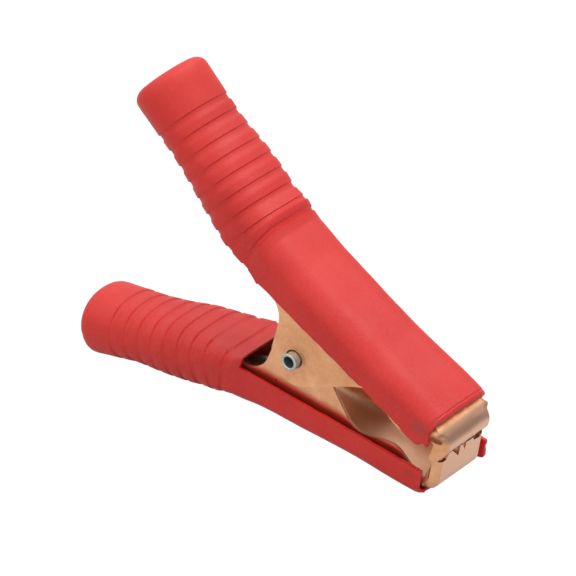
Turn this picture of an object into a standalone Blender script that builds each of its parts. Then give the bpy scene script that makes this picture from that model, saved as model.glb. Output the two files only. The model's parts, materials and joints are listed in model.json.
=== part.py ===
"""Spring clamp of an alligator clip lead: two stamped jaws, two moulded grip boots,
a hollow pivot rivet in a spring sleeve, and a torsion spring.

Everything is drawn in the jaw frame, in millimetres: the origin is on the pivot axis,
+x runs to the nose in the plane where the two jaws meet, +z leaves that plane and +y is
the pivot axis. Both halves share one outline, mirrored in the meeting plane: side is +1
for the upper half and -1 for the lower. Two-component vectors are (x, z) of the upper
half. The jaw frame is then pitched nose down until the lower half rests on the ground at
its nose and at the end of its grip, and the lengths become metres.
"""
import bpy
import bmesh
import math
from collections import namedtuple
from mathutils import Matrix, Vector

MM = 0.001

# ---------------------------------------------------------------- shared dimensions, mm
SHEET = 1.0                 # jaw sheet thickness
GAP = 0.30                  # running gap between neighbouring pieces
UPPER_HALF_W = 14.6         # half width over the upper jaw's cheeks (outside)
LOWER_HALF_W = UPPER_HALF_W - SHEET - GAP   # the lower jaw's cheeks run inside them

WEB_SLOPE = math.radians(12.5)   # web against the meeting plane
WEB_REF = (59.0, 13.5)      # a point on the web's outer face
WEB_BACK = Vector((-math.cos(WEB_SLOPE), math.sin(WEB_SLOPE)))   # along the web, tailwards

GRIP_SLOPE = math.radians(25.5)  # grip axis against the meeting plane
GRIP_START = Vector((-19.0, 23.0))   # a point on the grip axis, at the boot's mouth
GRIP_BACK = Vector((-math.cos(GRIP_SLOPE), math.sin(GRIP_SLOPE)))    # along the grip
GRIP_OUT = Vector((math.sin(GRIP_SLOPE), math.cos(GRIP_SLOPE)))      # square to it, outwards

# ---------------------------------------------------------------- jaw dimensions, mm
WEB_EDGE = (6.7, 4.9)       # bend between web and cheek: across, and along the cheek
NOSE_EDGE_R = 3.3           # the same bend at the nose
TOOTH_EDGE_R = 0.9          # and at the teeth
EDGE_ANGLES = (0, 30, 60, 90)    # degrees, points of that bend

NOSE_X = 63.9               # pivot axis to the teeth
NOSE_CORNER_X = 66.9        # where the web and the nose plate would meet without a bend
NOSE_BEND_R = 5.5
NOSE_BEND_STEP = math.radians(18)
NOSE_BEND_RETURN = (4.9, 4.7)    # depth of the side return at the bend's start and end
NOSE_RETURN = (4.7, 3.4, 1.6)    # and down the nose plate: top, middle, bottom
NOSE_PLATE_STEPS = (0.25, 0.5, 0.75, 1.0)
TOOTH_Z = 1.1               # the tooth line sits this far on the upper jaw's side
TOOTH_ALLOWANCE = 2.37      # uncut nose plate beyond the tooth line

EYE = (0.6, 0.0)            # centre of the cheek's lobe
EYE_R = 10.3                # its radius
EYE_HOLE_R = 3.05           # holes in the four cheeks
SLOPE_X = 16.6              # where the cheek's front slope crosses the meeting plane
SLOPE_A = math.radians(40.0)
SLOPE_BLEND = 0.9           # length over which the slope rounds into the low flange
BACK_C = (-20.4, 7.8)       # centre of the hollow behind the pivot
BACK_R = 10.2
FLANGE_MEAN_Z = 6.9         # the low flange is a wave about this height
FLANGE_WAVE = 2.7
FLANGE_CREST_X = 31.0
FLANGE_HALF_WAVE = 16.0     # crest to trough
FLANGE_TROUGH_X = FLANGE_CREST_X + FLANGE_HALF_WAVE
FLANGE_RISE = 4.2           # from the trough towards the nose
FLANGE_RISE_RUN = 13.0

# tail inside the grip: distances along the grip axis, then (mouth, end) values
TAIL_STATIONS = (46.0, 36.0, 26.0, 16.0, 9.0)
TAIL_WEB = (5.9, 5.6)       # grip axis out to the web
TAIL_EDGE = (-4.0, -2.0)    # grip axis to the free edge
TAIL_WIDTH = (1.0, 0.62)    # factor on the half width

# cheek stations: degrees round the hollow, degrees round the lobe, x in front of it
BACK_STATIONS = (0, 15, 30, 45, 60, 72, 82, 88)
LOBE_STATIONS = (6, 14, 26, 40, 56, 73, 90, 110, 130)
FRONT_STATIONS = (10.0, 14.0, 18.0, 21.0, 23.5, 25.5, 27.5, 30.5, 34.0, 38.0, 42.0, 45.0,
                  47.0, 50.0, 54.0)

# the two tooth lines over the width (y, z): coarse, uneven stamped teeth
UPPER_TEETH = (
    (-20, 1.25), (-8.0, 1.25), (-7.0, 3.3), (-5.2, 3.6), (-4.6, 3.0), (0.1, 3.0), (1.6, 2.6),
    (3.0, 3.1), (4.6, 2.7), (7.4, 2.9), (8.0, 3.4), (11.2, 3.2), (12.3, 2.5), (20, 2.3))
LOWER_TEETH = (
    (-20, 0.95), (-7.7, 0.8), (-6.4, 2.6), (-4.9, 2.8), (-0.5, -1.0), (-0.1, 2.6), (1.5, 2.2),
    (3.1, -0.3), (3.35, 2.4), (5.0, 2.2), (7.3, 2.35), (8.2, 1.9), (11.3, 1.6), (12.3, 2.0),
    (20, 1.7))
UPPER_CUT_Z = -6.0          # far side of each tooth cutter
LOWER_CUT_Z = 8.0
TOOTH_CUT_X = (NOSE_X - 9, NOSE_X + 6)
HOLE_CUTTER_L = 60
HOLE_SEGMENTS = 24

# ---------------------------------------------------------------- boot dimensions, mm
BOOT_WALL = 1.4             # flank wall
BOOT_TOP_WALL = 1.6         # wall over the web
GRIP_WALL = 2.4             # wall of the closed grip
BOOT_HALF_W = UPPER_HALF_W + GAP + BOOT_WALL
BOOT_FRONT_X = 60.0
MOUTH_X = -18.0             # the grip is a closed tube behind this
BOOT_RUN = BOOT_FRONT_X - MOUTH_X
LIP_FRONT_Z = 4.0
LIP_MOUTH_Z = 18.2
BOOT_SLIP = 4.8             # the upper boot sits this far back along the web
UPPER_FRONT = 2.2           # and its front reaches this far past the same outline
FRONT_LEAN = math.tan(WEB_SLOPE)   # the front edges are cut square to the web
GRIP_CORNER_R = 11.0        # corner radius the grip section grows to
MIN_CORNER_R = 0.2
CORNER_THINNING = 0.9       # the wall is thinner along the long outer corners

# grip section, each as (distance behind the mouth, value)
GRIP_OUTER = ((0, 9.6), (10, 11.2), (24, 12.2), (36, 12.0), (50, 11.4), (62, 12.1), (72, 12.8))
GRIP_INNER = ((0, 10.4), (14, 11.2), (28, 11.2), (38, 10.7), (50, 10.9), (60, 11.8),
              (72, 12.7))
GRIP_HALF_W = ((0, BOOT_HALF_W), (26, BOOT_HALF_W - 0.1), (48, 15.4), (72, 15.2))
# superellipse exponent: boxy at the mouth, oval at the end
GRIP_SQUARENESS = ((0, 4.0), (28, 2.8), (50, 2.25), (72, 2.15))

RIB_START = BOOT_RUN + 4.4  # from the boot's front, like all stations
RIB_PITCH = 6.3
RIB_COUNT = 9
RIB_STEP = 0.45             # share of a pitch from a rib's station to its groove's
RIB_CREST = 0.2             # share of a pitch that is crest
GROOVE_DEPTH = 0.45
GRIP_CAP_L = 4.0            # last full section to the grip's end
END_ROUNDING = ((-1.6, 1.2), (-0.2, 3.9))   # (distance past the end, inset)
INNER_END = 6.0             # last inner section to the grip's end
INNER_TIP = 5.0             # inner tip to the grip's end

# stations along the boot, from its front edge
CHANNEL_STATIONS = (0, 10, 20, 28, 36, 42, 48, 56, 66, BOOT_RUN - 5, BOOT_RUN)
INNER_CHANNEL_STATIONS = (0, 10, 20, 28, 42, 56, BOOT_RUN - 5, BOOT_RUN)
INNER_GRIP_STATIONS = (BOOT_RUN + 8, BOOT_RUN + 18, BOOT_RUN + 30, BOOT_RUN + 48)

SECTION_COLS = 16           # faces over each half section
SIDE_COLS = 2               # of which on each flank
CORNER_COLS = 4             # and on each corner

# what differs between the two boots
BootShape = namedtuple("BootShape", (
    "mouth_z",              # inner face of the closed grip at its mouth
    "mouth_r",              # that face's corner radius
    "front_corner",         # long outer corners at the front: across, high
    "rear_corner",          # the same behind
    "swell",                # swell of the top all over
    "mouth_swell",          # more at the mouth
    "front_swell",          # more at the front
    "dip",                  # dip of the inner face behind the mouth
    "grip_l"))              # mouth to the end of the grip
UPPER_BOOT = BootShape(mouth_z=16.4, mouth_r=3.0, front_corner=(7.5, 6.0),
                       rear_corner=(10.0, 8.0), swell=1.5, mouth_swell=1.1,
                       front_swell=0.6, dip=1.0, grip_l=74.7)
LOWER_BOOT = BootShape(mouth_z=12.8, mouth_r=1.3, front_corner=(6.0, 4.6),
                       rear_corner=(7.8, 5.8), swell=0.0, mouth_swell=1.1,
                       front_swell=0.6, dip=1.9, grip_l=73.5)

# ---------------------------------------------------------------- pivot and spring, mm
RIVET_R = 2.45              # hollow rivet, outside
RIVET_BORE_R = 2.15
RIM_R = 3.25                # its rolled rims
RIM_L = 0.9
RIVET_OUT = 3.2             # how far each rim stands out of the upper cheek
RIVET_HALF_L = UPPER_HALF_W + RIVET_OUT
SLEEVE_R = 2.95             # spring sleeve, outside
SLEEVE_BORE_R = RIVET_R + GAP
TURNED_STEPS = 24

SPRING_WIRE_R = 1.2
SPRING_R = 4.7              # mean coil radius
SPRING_TURNS = 5
SPRING_PITCH = 2.75
SPRING_LEG = 27.0           # leg length
SPRING_LEG_A = 35.0         # degrees from the meeting plane to each leg
SPRING_STEPS = 14           # segments per turn


# ---------------------------------------------------------------- small helpers
def clamp01(v):
    return max(0.0, min(1.0, v))


def smooth(v):
    v = clamp01(v)
    return v * v * (3 - 2 * v)


def mix(a, b, t):
    return a + (b - a) * t


def through(u, knots):
    """Smooth value at u through a few (position, value) knots."""
    if u <= knots[0][0]:
        return knots[0][1]
    for (u0, v0), (u1, v1) in zip(knots, knots[1:]):
        if u <= u1:
            t = (u - u0) / (u1 - u0)
            return mix(v0, v1, mix(t, smooth(t), 0.5))
    return knots[-1][1]


def web_z(x):
    """Outer face of the web."""
    return WEB_REF[1] - (x - WEB_REF[0]) * math.tan(WEB_SLOPE)


def new_object(name, data, parent, coll):
    ob = bpy.data.objects.new(name, data)
    coll.objects.link(ob)
    ob.parent = parent
    return ob


def object_from(bm, name, parent, coll):
    mesh = bpy.data.meshes.new(name)
    bm.to_mesh(mesh)
    bm.free()
    return new_object(name, mesh, parent, coll)


def material(name, colour, roughness, metallic):
    mat = bpy.data.materials.new(name)
    mat.use_nodes = True
    inputs = mat.node_tree.nodes["Principled BSDF"].inputs
    inputs["Base Color"].default_value = (*colour, 1)
    inputs["Roughness"].default_value = roughness
    inputs["Metallic"].default_value = metallic
    return mat


def finish(ob, mat, sharp_angle=35):
    ob.data.materials.append(mat)
    ob.data.shade_smooth()
    ob.data.set_sharp_from_angle(angle=math.radians(sharp_angle))


def skin(bm, rows):
    """Quads between neighbouring rows of vertices."""
    for a, b in zip(rows, rows[1:]):
        for i in range(len(a) - 1):
            bm.faces.new((a[i], a[i + 1], b[i + 1], b[i]))


def bridge(bm, a, b):
    """Triangles between two chains of vertices that may differ in length."""
    i = j = 0
    while i < len(a) - 1 or j < len(b) - 1:
        if j == len(b) - 1 or (i < len(a) - 1 and
                               (a[i + 1].co - b[j].co).length <= (a[i].co - b[j + 1].co).length):
            bm.faces.new((a[i], a[i + 1], b[j]))
            i += 1
        else:
            bm.faces.new((a[i], b[j + 1], b[j]))
            j += 1


# ---------------------------------------------------------------- jaw
def cheek_edge(x):
    """Free edge of the cheek, for the upper half, from the hollow forwards."""
    if x < BACK_C[0] + BACK_R:
        return BACK_C[1] + math.sqrt(BACK_R ** 2 - (x - BACK_C[0]) ** 2)
    tangent_x = EYE[0] + EYE_R * math.sin(SLOPE_A)
    if x <= tangent_x:
        return EYE[1] - math.sqrt(max(0.0, EYE_R ** 2 - (x - EYE[0]) ** 2))
    slope = (x - SLOPE_X) * math.tan(SLOPE_A)
    # the low flange has a hump, dips in front of it and rises again to the nose
    if x > FLANGE_TROUGH_X:
        rise = smooth((x - FLANGE_TROUGH_X) / FLANGE_RISE_RUN)
        flange = FLANGE_MEAN_Z - FLANGE_WAVE + FLANGE_RISE * rise
    else:
        phase = (x - FLANGE_CREST_X) / FLANGE_HALF_WAVE * math.pi
        flange = FLANGE_MEAN_Z + FLANGE_WAVE * math.cos(phase)
    # the lower of the two, with the corner rounded
    total = math.exp(-slope / SLOPE_BLEND) + math.exp(-flange / SLOPE_BLEND)
    return -math.log(total) * SLOPE_BLEND


# Each jaw station is (web point, free-edge point, half-width factor).
def tail_stations():
    rows = []
    for u in TAIL_STATIONS:
        t = smooth((u - 3.0) / 20.0)
        axis = GRIP_START + GRIP_BACK * u
        web = axis + GRIP_OUT * mix(*TAIL_WEB, t)
        edge = axis + GRIP_OUT * mix(*TAIL_EDGE, t)
        rows.append((web, edge, mix(*TAIL_WIDTH, smooth((u - 2.0) / 24.0))))
    return rows


def cheek_stations():
    xs = [BACK_C[0] + BACK_R * math.sin(math.radians(a)) for a in BACK_STATIONS]
    xs += [EYE[0] - EYE_R * math.cos(math.radians(a)) for a in LOBE_STATIONS]
    xs += FRONT_STATIONS
    return [(Vector((x, web_z(x))), Vector((x, cheek_edge(x))), 1.0) for x in xs]


def nose_stations(side):
    """Bend from the web to the nose plate, then the plate, with their side returns."""
    corner = Vector((NOSE_CORNER_X, web_z(NOSE_CORNER_X)))
    end = Vector((NOSE_X + 0.1, TOOTH_Z * side - TOOTH_ALLOWANCE))
    down = (end - corner).normalized()
    turn = math.pi - WEB_BACK.angle(down)
    centre = corner + (WEB_BACK + down).normalized() * (NOSE_BEND_R / math.cos(turn / 2))
    tangent = NOSE_BEND_R * math.tan(turn / 2)
    first = corner + WEB_BACK * tangent - centre
    last = corner + down * tangent - centre
    start_angle = math.atan2(first.y, first.x)
    sweep = math.atan2(last.y, last.x) - start_angle
    sweep = (sweep + math.pi) % (2 * math.pi) - math.pi
    steps = round(abs(sweep) / NOSE_BEND_STEP)

    rows = []
    for i in range(steps + 1):
        angle = start_angle + sweep * i / steps
        radial = Vector((math.cos(angle), math.sin(angle)))
        web = centre + radial * NOSE_BEND_R
        rows.append((web, web - radial * mix(*NOSE_BEND_RETURN, i / steps), 1.0))

    plate_start = rows[-1][0]
    tailwards = Vector((down.y, -down.x))
    top, middle, bottom = NOSE_RETURN
    for t in NOSE_PLATE_STEPS:
        web = plate_start.lerp(end, t)
        if t < 0.5:
            depth = mix(top, middle, smooth(t / 0.5))
        else:
            depth = mix(middle, bottom, smooth((t - 0.5) / 0.5))
        rows.append((web, web + tailwards * depth, 1.0))
    return rows


def jaw_section(station, half_w, side):
    """One U-shaped row of points, from the free edge at -y to the one at +y."""
    web, edge, width_factor = station
    h = half_w * width_factor
    depth = (edge - web).length
    to_edge = (edge - web) / depth
    near_nose = smooth((web.x - 52.0) / 11.0)
    nose_r = mix(NOSE_EDGE_R, TOOTH_EDGE_R, clamp01((9.5 - web.y) / 9.0))
    across = mix(WEB_EDGE[0], nose_r, near_nose)
    along = min(mix(WEB_EDGE[1], nose_r, near_nose), depth * 0.7)
    half = [(-h, depth)]
    for degrees in EDGE_ANGLES:
        a = math.radians(degrees)
        half.append((-h + across * (1 - math.cos(a)), along * (1 - math.sin(a))))
    row = []
    for y, t in half + [(0.0, 0.0)] + [(-y, t) for y, t in reversed(half)]:
        p = web + to_edge * t
        row.append(Vector((p.x, y, p.y * side)))
    return row


def hide_cutter(ob):
    ob.hide_render = True
    ob.display_type = "WIRE"
    return ob


def hole_cutter(name, parent, coll):
    bm = bmesh.new()
    bmesh.ops.create_cone(bm, cap_ends=True, segments=HOLE_SEGMENTS,
                          radius1=EYE_HOLE_R * MM, radius2=EYE_HOLE_R * MM,
                          depth=HOLE_CUTTER_L * MM,
                          matrix=Matrix.Rotation(math.radians(90), 4, "X"))
    return hide_cutter(object_from(bm, name, parent, coll))


def tooth_cutter(name, side, parent, coll):
    """Everything beyond the jaw's own tooth line, over the depth of the nose plate."""
    line, far_z = (UPPER_TEETH, UPPER_CUT_Z) if side > 0 else (LOWER_TEETH, LOWER_CUT_Z)
    outline = list(line) + [(line[-1][0], far_z), (line[0][0], far_z)]
    bm = bmesh.new()
    rear, front = [[bm.verts.new(Vector((x, y, z)) * MM) for y, z in outline]
                   for x in TOOTH_CUT_X]
    n = len(outline)
    for i in range(n):
        bm.faces.new((rear[i], rear[(i + 1) % n], front[(i + 1) % n], front[i]))
    bm.faces.new(rear[::-1])
    bm.faces.new(front)
    bmesh.ops.recalc_face_normals(bm, faces=bm.faces)
    bmesh.ops.triangulate(bm, faces=bm.faces)
    return hide_cutter(object_from(bm, name, parent, coll))


def add_cut(ob, name, cutter):
    cut = ob.modifiers.new(name, "BOOLEAN")
    cut.operation = "DIFFERENCE"
    cut.solver = "EXACT"
    cut.object = cutter
    return cut


def build_jaw(name, half_w, side, parent, coll, cutters, mat):
    """Sheet surface, then its thickness, then the pivot hole and the tooth line."""
    bm = bmesh.new()
    stations = tail_stations() + cheek_stations() + nose_stations(side)
    skin(bm, [[bm.verts.new(p * MM) for p in jaw_section(s, half_w, side)] for s in stations])
    bmesh.ops.recalc_face_normals(bm, faces=bm.faces)
    # outward means away from the channel's inside
    top = max(bm.faces, key=lambda f: f.calc_center_median().z * side)
    if top.normal.z * side < 0:
        bmesh.ops.reverse_faces(bm, faces=bm.faces)
    ob = object_from(bm, name, parent, coll)

    sheet = ob.modifiers.new("sheet", "SOLIDIFY")
    sheet.thickness = SHEET * MM
    sheet.offset = -1
    sheet.use_even_offset = True
    sheet.thickness_clamp = 0
    add_cut(ob, "pivot_hole", hole_cutter(name + "_hole_cutter", parent, cutters))
    teeth = add_cut(ob, "teeth", tooth_cutter(name + "_tooth_cutter", side, parent, cutters))
    teeth.use_self = True
    finish(ob, mat)


# ---------------------------------------------------------------- grip boot
# Section frame of a boot: centre (level with the lips), outward direction, half width,
# heights and corner radii of the outer and inner halves, how far the section is eased
# to a superellipse, and that curve's exponent.
BootStation = namedtuple("BootStation", (
    "centre", "out", "half_w", "outer_h", "inner_h", "outer_corner", "inner_corner",
    "oval", "exponent"))


def channel_station(t, shape):
    x = BOOT_FRONT_X - t
    z = mix(LIP_FRONT_Z, LIP_MOUTH_Z, t / BOOT_RUN)
    top = web_z(x) + GAP + BOOT_TOP_WALL + shape.swell
    top += shape.mouth_swell * smooth((-4.0 - x) / 14.0)
    top += shape.front_swell * smooth((x - 32.0) / 28.0)
    corner = [mix(front, rear, smooth(t / 30.0))
              for front, rear in zip(shape.front_corner, shape.rear_corner)]
    return BootStation(
        centre=Vector((x, z)), out=Vector((0, 1)), half_w=BOOT_HALF_W,
        outer_h=top - z, inner_h=LIP_MOUTH_Z - shape.mouth_z,
        outer_corner=corner, inner_corner=(shape.mouth_r, shape.mouth_r),
        oval=0.0, exponent=4.0)


def grip_station(u, shape):
    """Section u mm behind the mouth: the channel's section eases into the grip's."""
    turned_in = smooth(u / 16.0)
    axis = GRIP_START + GRIP_BACK * u
    out = Vector((0, 1)).lerp(GRIP_OUT, turned_in).normalized()
    top = Vector((MOUTH_X, web_z(MOUTH_X) + GAP + BOOT_TOP_WALL)) + GRIP_BACK * u
    low = Vector((MOUTH_X, shape.mouth_z)) + GRIP_BACK * u
    outer = top.lerp(axis + GRIP_OUT * through(u, GRIP_OUTER), turned_in)
    inner = low.lerp(axis - GRIP_OUT * through(u, GRIP_INNER), turned_in)
    outer += out * (shape.swell + shape.mouth_swell) * (1 - smooth((u - 9.0) / 10.0))
    inner += GRIP_OUT * shape.dip * smooth(u / 5.0) * (1 - smooth((u - 10.0) / 22.0))
    inner_share = mix((LIP_MOUTH_Z - shape.mouth_z) / (top - low).length, 0.5,
                      smooth(u / 30.0))
    height = (outer - inner).length
    oval = smooth(u / 24.0)
    return BootStation(
        centre=inner.lerp(outer, inner_share), out=(outer - inner).normalized(),
        half_w=through(u, GRIP_HALF_W),
        outer_h=height * (1 - inner_share), inner_h=height * inner_share,
        outer_corner=[mix(r, GRIP_CORNER_R, oval) for r in shape.rear_corner],
        inner_corner=(mix(shape.mouth_r, GRIP_CORNER_R, oval),) * 2,
        oval=oval, exponent=through(u, GRIP_SQUARENESS))


def boot_station(t, shape):
    """Section t mm behind the boot's front edge along its length."""
    if t <= BOOT_RUN:
        return channel_station(t, shape)
    return grip_station(t - BOOT_RUN, shape)


def half_section(half_w, height, radii, oval, exponent):
    """(y, height) points of half a box with elliptical corners, eased to an oval.

    They run from (-half_w, 0) over the top at height to (half_w, 0)."""
    rx, rz = min(radii[0], 0.97 * half_w), min(radii[1], 0.97 * height)
    half = [(-half_w, (height - rz) * i / SIDE_COLS) for i in range(SIDE_COLS)]
    for i in range(CORNER_COLS + 1):
        a = math.radians(90) * i / CORNER_COLS
        half.append((-half_w + rx * (1 - math.cos(a)), height - rz + rz * math.sin(a)))
    flat_cols = SECTION_COLS // 2 - SIDE_COLS - CORNER_COLS
    for i in range(1, flat_cols):
        half.append(((-half_w + rx) * (1 - i / flat_cols), height))
    box = half + [(0.0, height)] + [(-y, h) for y, h in reversed(half)]
    points = []
    for i, (y, h) in enumerate(box):
        a = math.pi * (1 - i / SECTION_COLS)
        c, s = math.cos(a), math.sin(a)
        oval_y = half_w * math.copysign(abs(c) ** (2 / exponent), c)
        oval_h = height * abs(s) ** (2 / exponent)
        points.append((mix(y, oval_y, oval), mix(h, oval_h, oval)))
    return points


def outer_half(station, inset, top_inset):
    radii = [max(MIN_CORNER_R, r - inset - CORNER_THINNING * clamp01(inset))
             for r in station.outer_corner]
    return half_section(station.half_w - inset, station.outer_h - top_inset, radii,
                        station.oval, station.exponent)


def inner_half(station, inset):
    """The half that faces the other grip and closes the tube, from +y to -y."""
    radii = [max(MIN_CORNER_R, r - inset) for r in station.inner_corner]
    points = half_section(station.half_w - inset, station.inner_h - inset, radii,
                          station.oval, station.exponent)
    return [(-y, -h) for y, h in points]


def in_frame(station, y, h):
    p = station.centre + station.out * h
    return Vector((p.x, y, p.y))


def front_row(inset, top_inset, shape, reach):
    """The front edge leans with the web and is not quite straight."""
    outline = outer_half(boot_station(0, shape), 0, 0)
    row = []
    for i, (_, height) in enumerate(outline):
        station = boot_station(-reach(i / SECTION_COLS) - FRONT_LEAN * height, shape)
        row.append(in_frame(station, *outer_half(station, inset, top_inset)[i]))
    return row


# How far the front edge reaches forwards, s running from 0 at the -y lip to 1 at the +y lip.
def upper_reach(s):
    return UPPER_FRONT + 1.5 * smooth(1 - s / 0.16)


def lower_reach(s):
    return 0.3 * smooth(1 - s / 0.2) + 3.4 * smooth((s - 0.80) / 0.10)


def rib_stations():
    stations = []
    for i in range(RIB_COUNT):
        rib = RIB_START + i * RIB_PITCH
        stations += [rib, rib + RIB_PITCH * RIB_STEP]
    return stations


def groove_inset(t):
    """Inset of the outer skin between the ribs."""
    if not RIB_START <= t < RIB_START + RIB_COUNT * RIB_PITCH:
        return 0.0
    k = (t - RIB_START) / RIB_PITCH
    return 0.0 if (k - math.floor(k)) < RIB_CREST else GROOVE_DEPTH


def build_boot(name, side, slip, shape, reach, parent, coll, mat):
    """Outer and inner skins, joined along the front, the two lips and the mouth."""
    shift = Vector((WEB_BACK.x * slip, 0, WEB_BACK.y * slip))
    end = BOOT_RUN + shape.grip_l
    bm = bmesh.new()

    def put(points):
        moved = [p + shift for p in points]
        return [bm.verts.new(Vector((p.x, p.y, p.z * side)) * MM) for p in moved]

    def add_section(t, inset, top_inset, outer_rows, inner_rows):
        """Open row over the web, and behind the mouth the row that closes the tube."""
        station = boot_station(t, shape)
        if t == 0:
            row = front_row(inset, top_inset, shape, reach)
        else:
            row = [in_frame(station, y, h) for y, h in outer_half(station, inset, top_inset)]
        outer_rows.append(put(row))
        if t >= BOOT_RUN:
            row = [in_frame(station, y, h) for y, h in inner_half(station, inset)]
            inner_rows.append([outer_rows[-1][-1]] + put(row[1:-1]) + [outer_rows[-1][0]])

    def add_tip(t):
        return put([in_frame(boot_station(t, shape), 0, 0)])[0]

    # outer skin: channel, mouth, ribbed grip, rounded end
    outside, outside_cap = [], []
    for t in [*CHANNEL_STATIONS, *rib_stations(), end - GRIP_CAP_L]:
        inset = groove_inset(t)
        add_section(t, inset, inset, outside, outside_cap)
    for past_end, inset in END_ROUNDING:
        add_section(end + past_end, inset, inset, outside, outside_cap)
    outside_tip = add_tip(end)

    # inner skin
    inside, inside_cap = [], []
    for t in [*INNER_CHANNEL_STATIONS, *INNER_GRIP_STATIONS, end - INNER_END]:
        thicken = smooth((t - BOOT_RUN) / 24.0)
        add_section(t, mix(BOOT_WALL, GRIP_WALL, thicken),
                    mix(BOOT_TOP_WALL, GRIP_WALL, thicken), inside, inside_cap)
    inside_tip = add_tip(end - INNER_TIP)

    for rows in (outside, outside_cap, inside, inside_cap):
        skin(bm, rows)
    for rows, cap, tip in ((outside, outside_cap, outside_tip),
                           (inside, inside_cap, inside_tip)):
        ring = rows[-1] + cap[-1][1:-1]
        for i in range(len(ring)):
            bm.faces.new((ring[i], ring[(i + 1) % len(ring)], tip))

    # edges of the wall: the front, the two lips, the mouth
    bridge(bm, outside[0], inside[0])
    for column in (0, -1):
        bridge(bm, [row[column] for row in outside[:len(CHANNEL_STATIONS)]],
               [row[column] for row in inside[:len(INNER_CHANNEL_STATIONS)]])
    bridge(bm, outside_cap[0], inside_cap[0])
    bmesh.ops.recalc_face_normals(bm, faces=bm.faces)
    bmesh.ops.triangulate(bm, faces=bm.faces)
    ob = object_from(bm, name, parent, coll)
    finish(ob, mat, sharp_angle=40)
    return ob


# ---------------------------------------------------------------- turned pieces and spring
def turned(name, half_profile, parent, coll, mat):
    """The +y half of a profile of (radius, y), outer side first, mirrored and turned."""
    mirrored = [(r, -y) for r, y in half_profile]
    profile = mirrored[:1] + half_profile + mirrored[:0:-1]
    bm = bmesh.new()
    verts = [bm.verts.new((r * MM, 0, -y * MM)) for r, y in profile]
    for i in range(len(verts)):
        bm.edges.new((verts[i], verts[(i + 1) % len(verts)]))
    ob = object_from(bm, name, parent, coll)
    screw = ob.modifiers.new("turn", "SCREW")
    screw.axis = "Z"
    screw.angle = 2 * math.pi
    screw.steps = TURNED_STEPS
    screw.render_steps = TURNED_STEPS
    screw.use_merge_vertices = True
    screw.merge_threshold = 0.00001
    ob.rotation_euler = (math.radians(90), 0, 0)
    finish(ob, mat)


def build_sleeve(parent, coll, mat):
    end = RIVET_HALF_L - RIM_L - GAP
    turned("spring_sleeve", [(SLEEVE_R, end), (SLEEVE_BORE_R, end)], parent, coll, mat)


def build_rivet(parent, coll, mat):
    end = RIVET_HALF_L
    rim = end - RIM_L
    turned("pivot_rivet",
           [(RIVET_R, rim), (RIM_R - 0.2, rim), (RIM_R, rim + 0.2), (RIM_R, end - 0.35),
            (RIM_R - 0.35, end), (RIVET_BORE_R + 0.35, end), (RIVET_BORE_R, end - 0.5)],
           parent, coll, mat)


def build_spring(name, parent, coll, mat):
    """Coil with a leg at each end; the legs run back beside the two webs."""
    half_l = SPRING_TURNS * SPRING_PITCH / 2
    lower_leg = math.radians(180 + SPRING_LEG_A)
    upper_leg = math.radians(180 - SPRING_LEG_A)
    # a leg is a tangent: it leaves the coil where the radius is square to it
    start = lower_leg + math.radians(90)
    end = upper_leg - math.radians(90)
    sweep = 2 * math.pi * (SPRING_TURNS - 1) + (start - end) % (2 * math.pi)
    steps = SPRING_TURNS * SPRING_STEPS
    coil = []
    for i in range(steps + 1):
        a = start - sweep * i / steps
        coil.append(Vector((SPRING_R * math.cos(a), -half_l + 2 * half_l * i / steps,
                            SPRING_R * math.sin(a))))
    lower_end, upper_end = [
        p + Vector((math.cos(a), 0, math.sin(a))) * SPRING_LEG
        for p, a in ((coil[0], lower_leg), (coil[-1], upper_leg))]
    points = [lower_end] + coil + [upper_end]

    curve = bpy.data.curves.new(name, "CURVE")
    curve.dimensions = "3D"
    curve.bevel_depth = SPRING_WIRE_R * MM
    curve.bevel_resolution = 2
    curve.use_fill_caps = True
    spline = curve.splines.new("POLY")
    spline.points.add(len(points) - 1)
    for spline_point, p in zip(spline.points, points):
        spline_point.co = (*(p * MM), 1)
    wire = new_object(name + "_curve", curve, None, coll)
    bpy.context.view_layer.update()
    depsgraph = bpy.context.evaluated_depsgraph_get()
    mesh = bpy.data.meshes.new_from_object(wire.evaluated_get(depsgraph))
    mesh.name = name
    bpy.data.objects.remove(wire)

    # weld the end caps to the wire
    bm = bmesh.new()
    bm.from_mesh(mesh)
    bmesh.ops.remove_doubles(bm, verts=bm.verts, dist=0.00001)
    bmesh.ops.recalc_face_normals(bm, faces=bm.faces)
    bm.to_mesh(mesh)
    bm.free()
    finish(new_object(name, mesh, parent, coll), mat)


# ---------------------------------------------------------------- assembly
def rest_pitch(points):
    """Nose-down pitch at which the (x, z) points stand on front and grip, and their low z."""
    front = [p for p in points if p[0] > 0]
    rear = [p for p in points if p[0] < -40]
    pitch = math.radians(19)

    def height(p):
        return -p[0] * math.sin(pitch) + p[1] * math.cos(pitch)

    for _ in range(30):
        nose = min(front, key=height)
        heel = min(rear, key=height)
        pitch = math.atan2(nose[1] - heel[1], nose[0] - heel[0])
    return pitch, height(nose)


def stand_on_ground(root, lower_boot, coll):
    """Pitch the clamp onto the ground and centre it along x."""
    pitch, low = rest_pitch([(v.co.x / MM, v.co.z / MM) for v in lower_boot.data.vertices])
    root.rotation_euler = (0, pitch, 0)
    bpy.context.view_layer.update()
    depsgraph = bpy.context.evaluated_depsgraph_get()
    xs = []
    for ob in coll.objects:
        if ob.type == "MESH":
            vertices = ob.evaluated_get(depsgraph).data.vertices
            xs += [(ob.matrix_world @ v.co).x for v in vertices]
    root.location = (-(min(xs) + max(xs)) / 2, 0, -low * MM)


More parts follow.
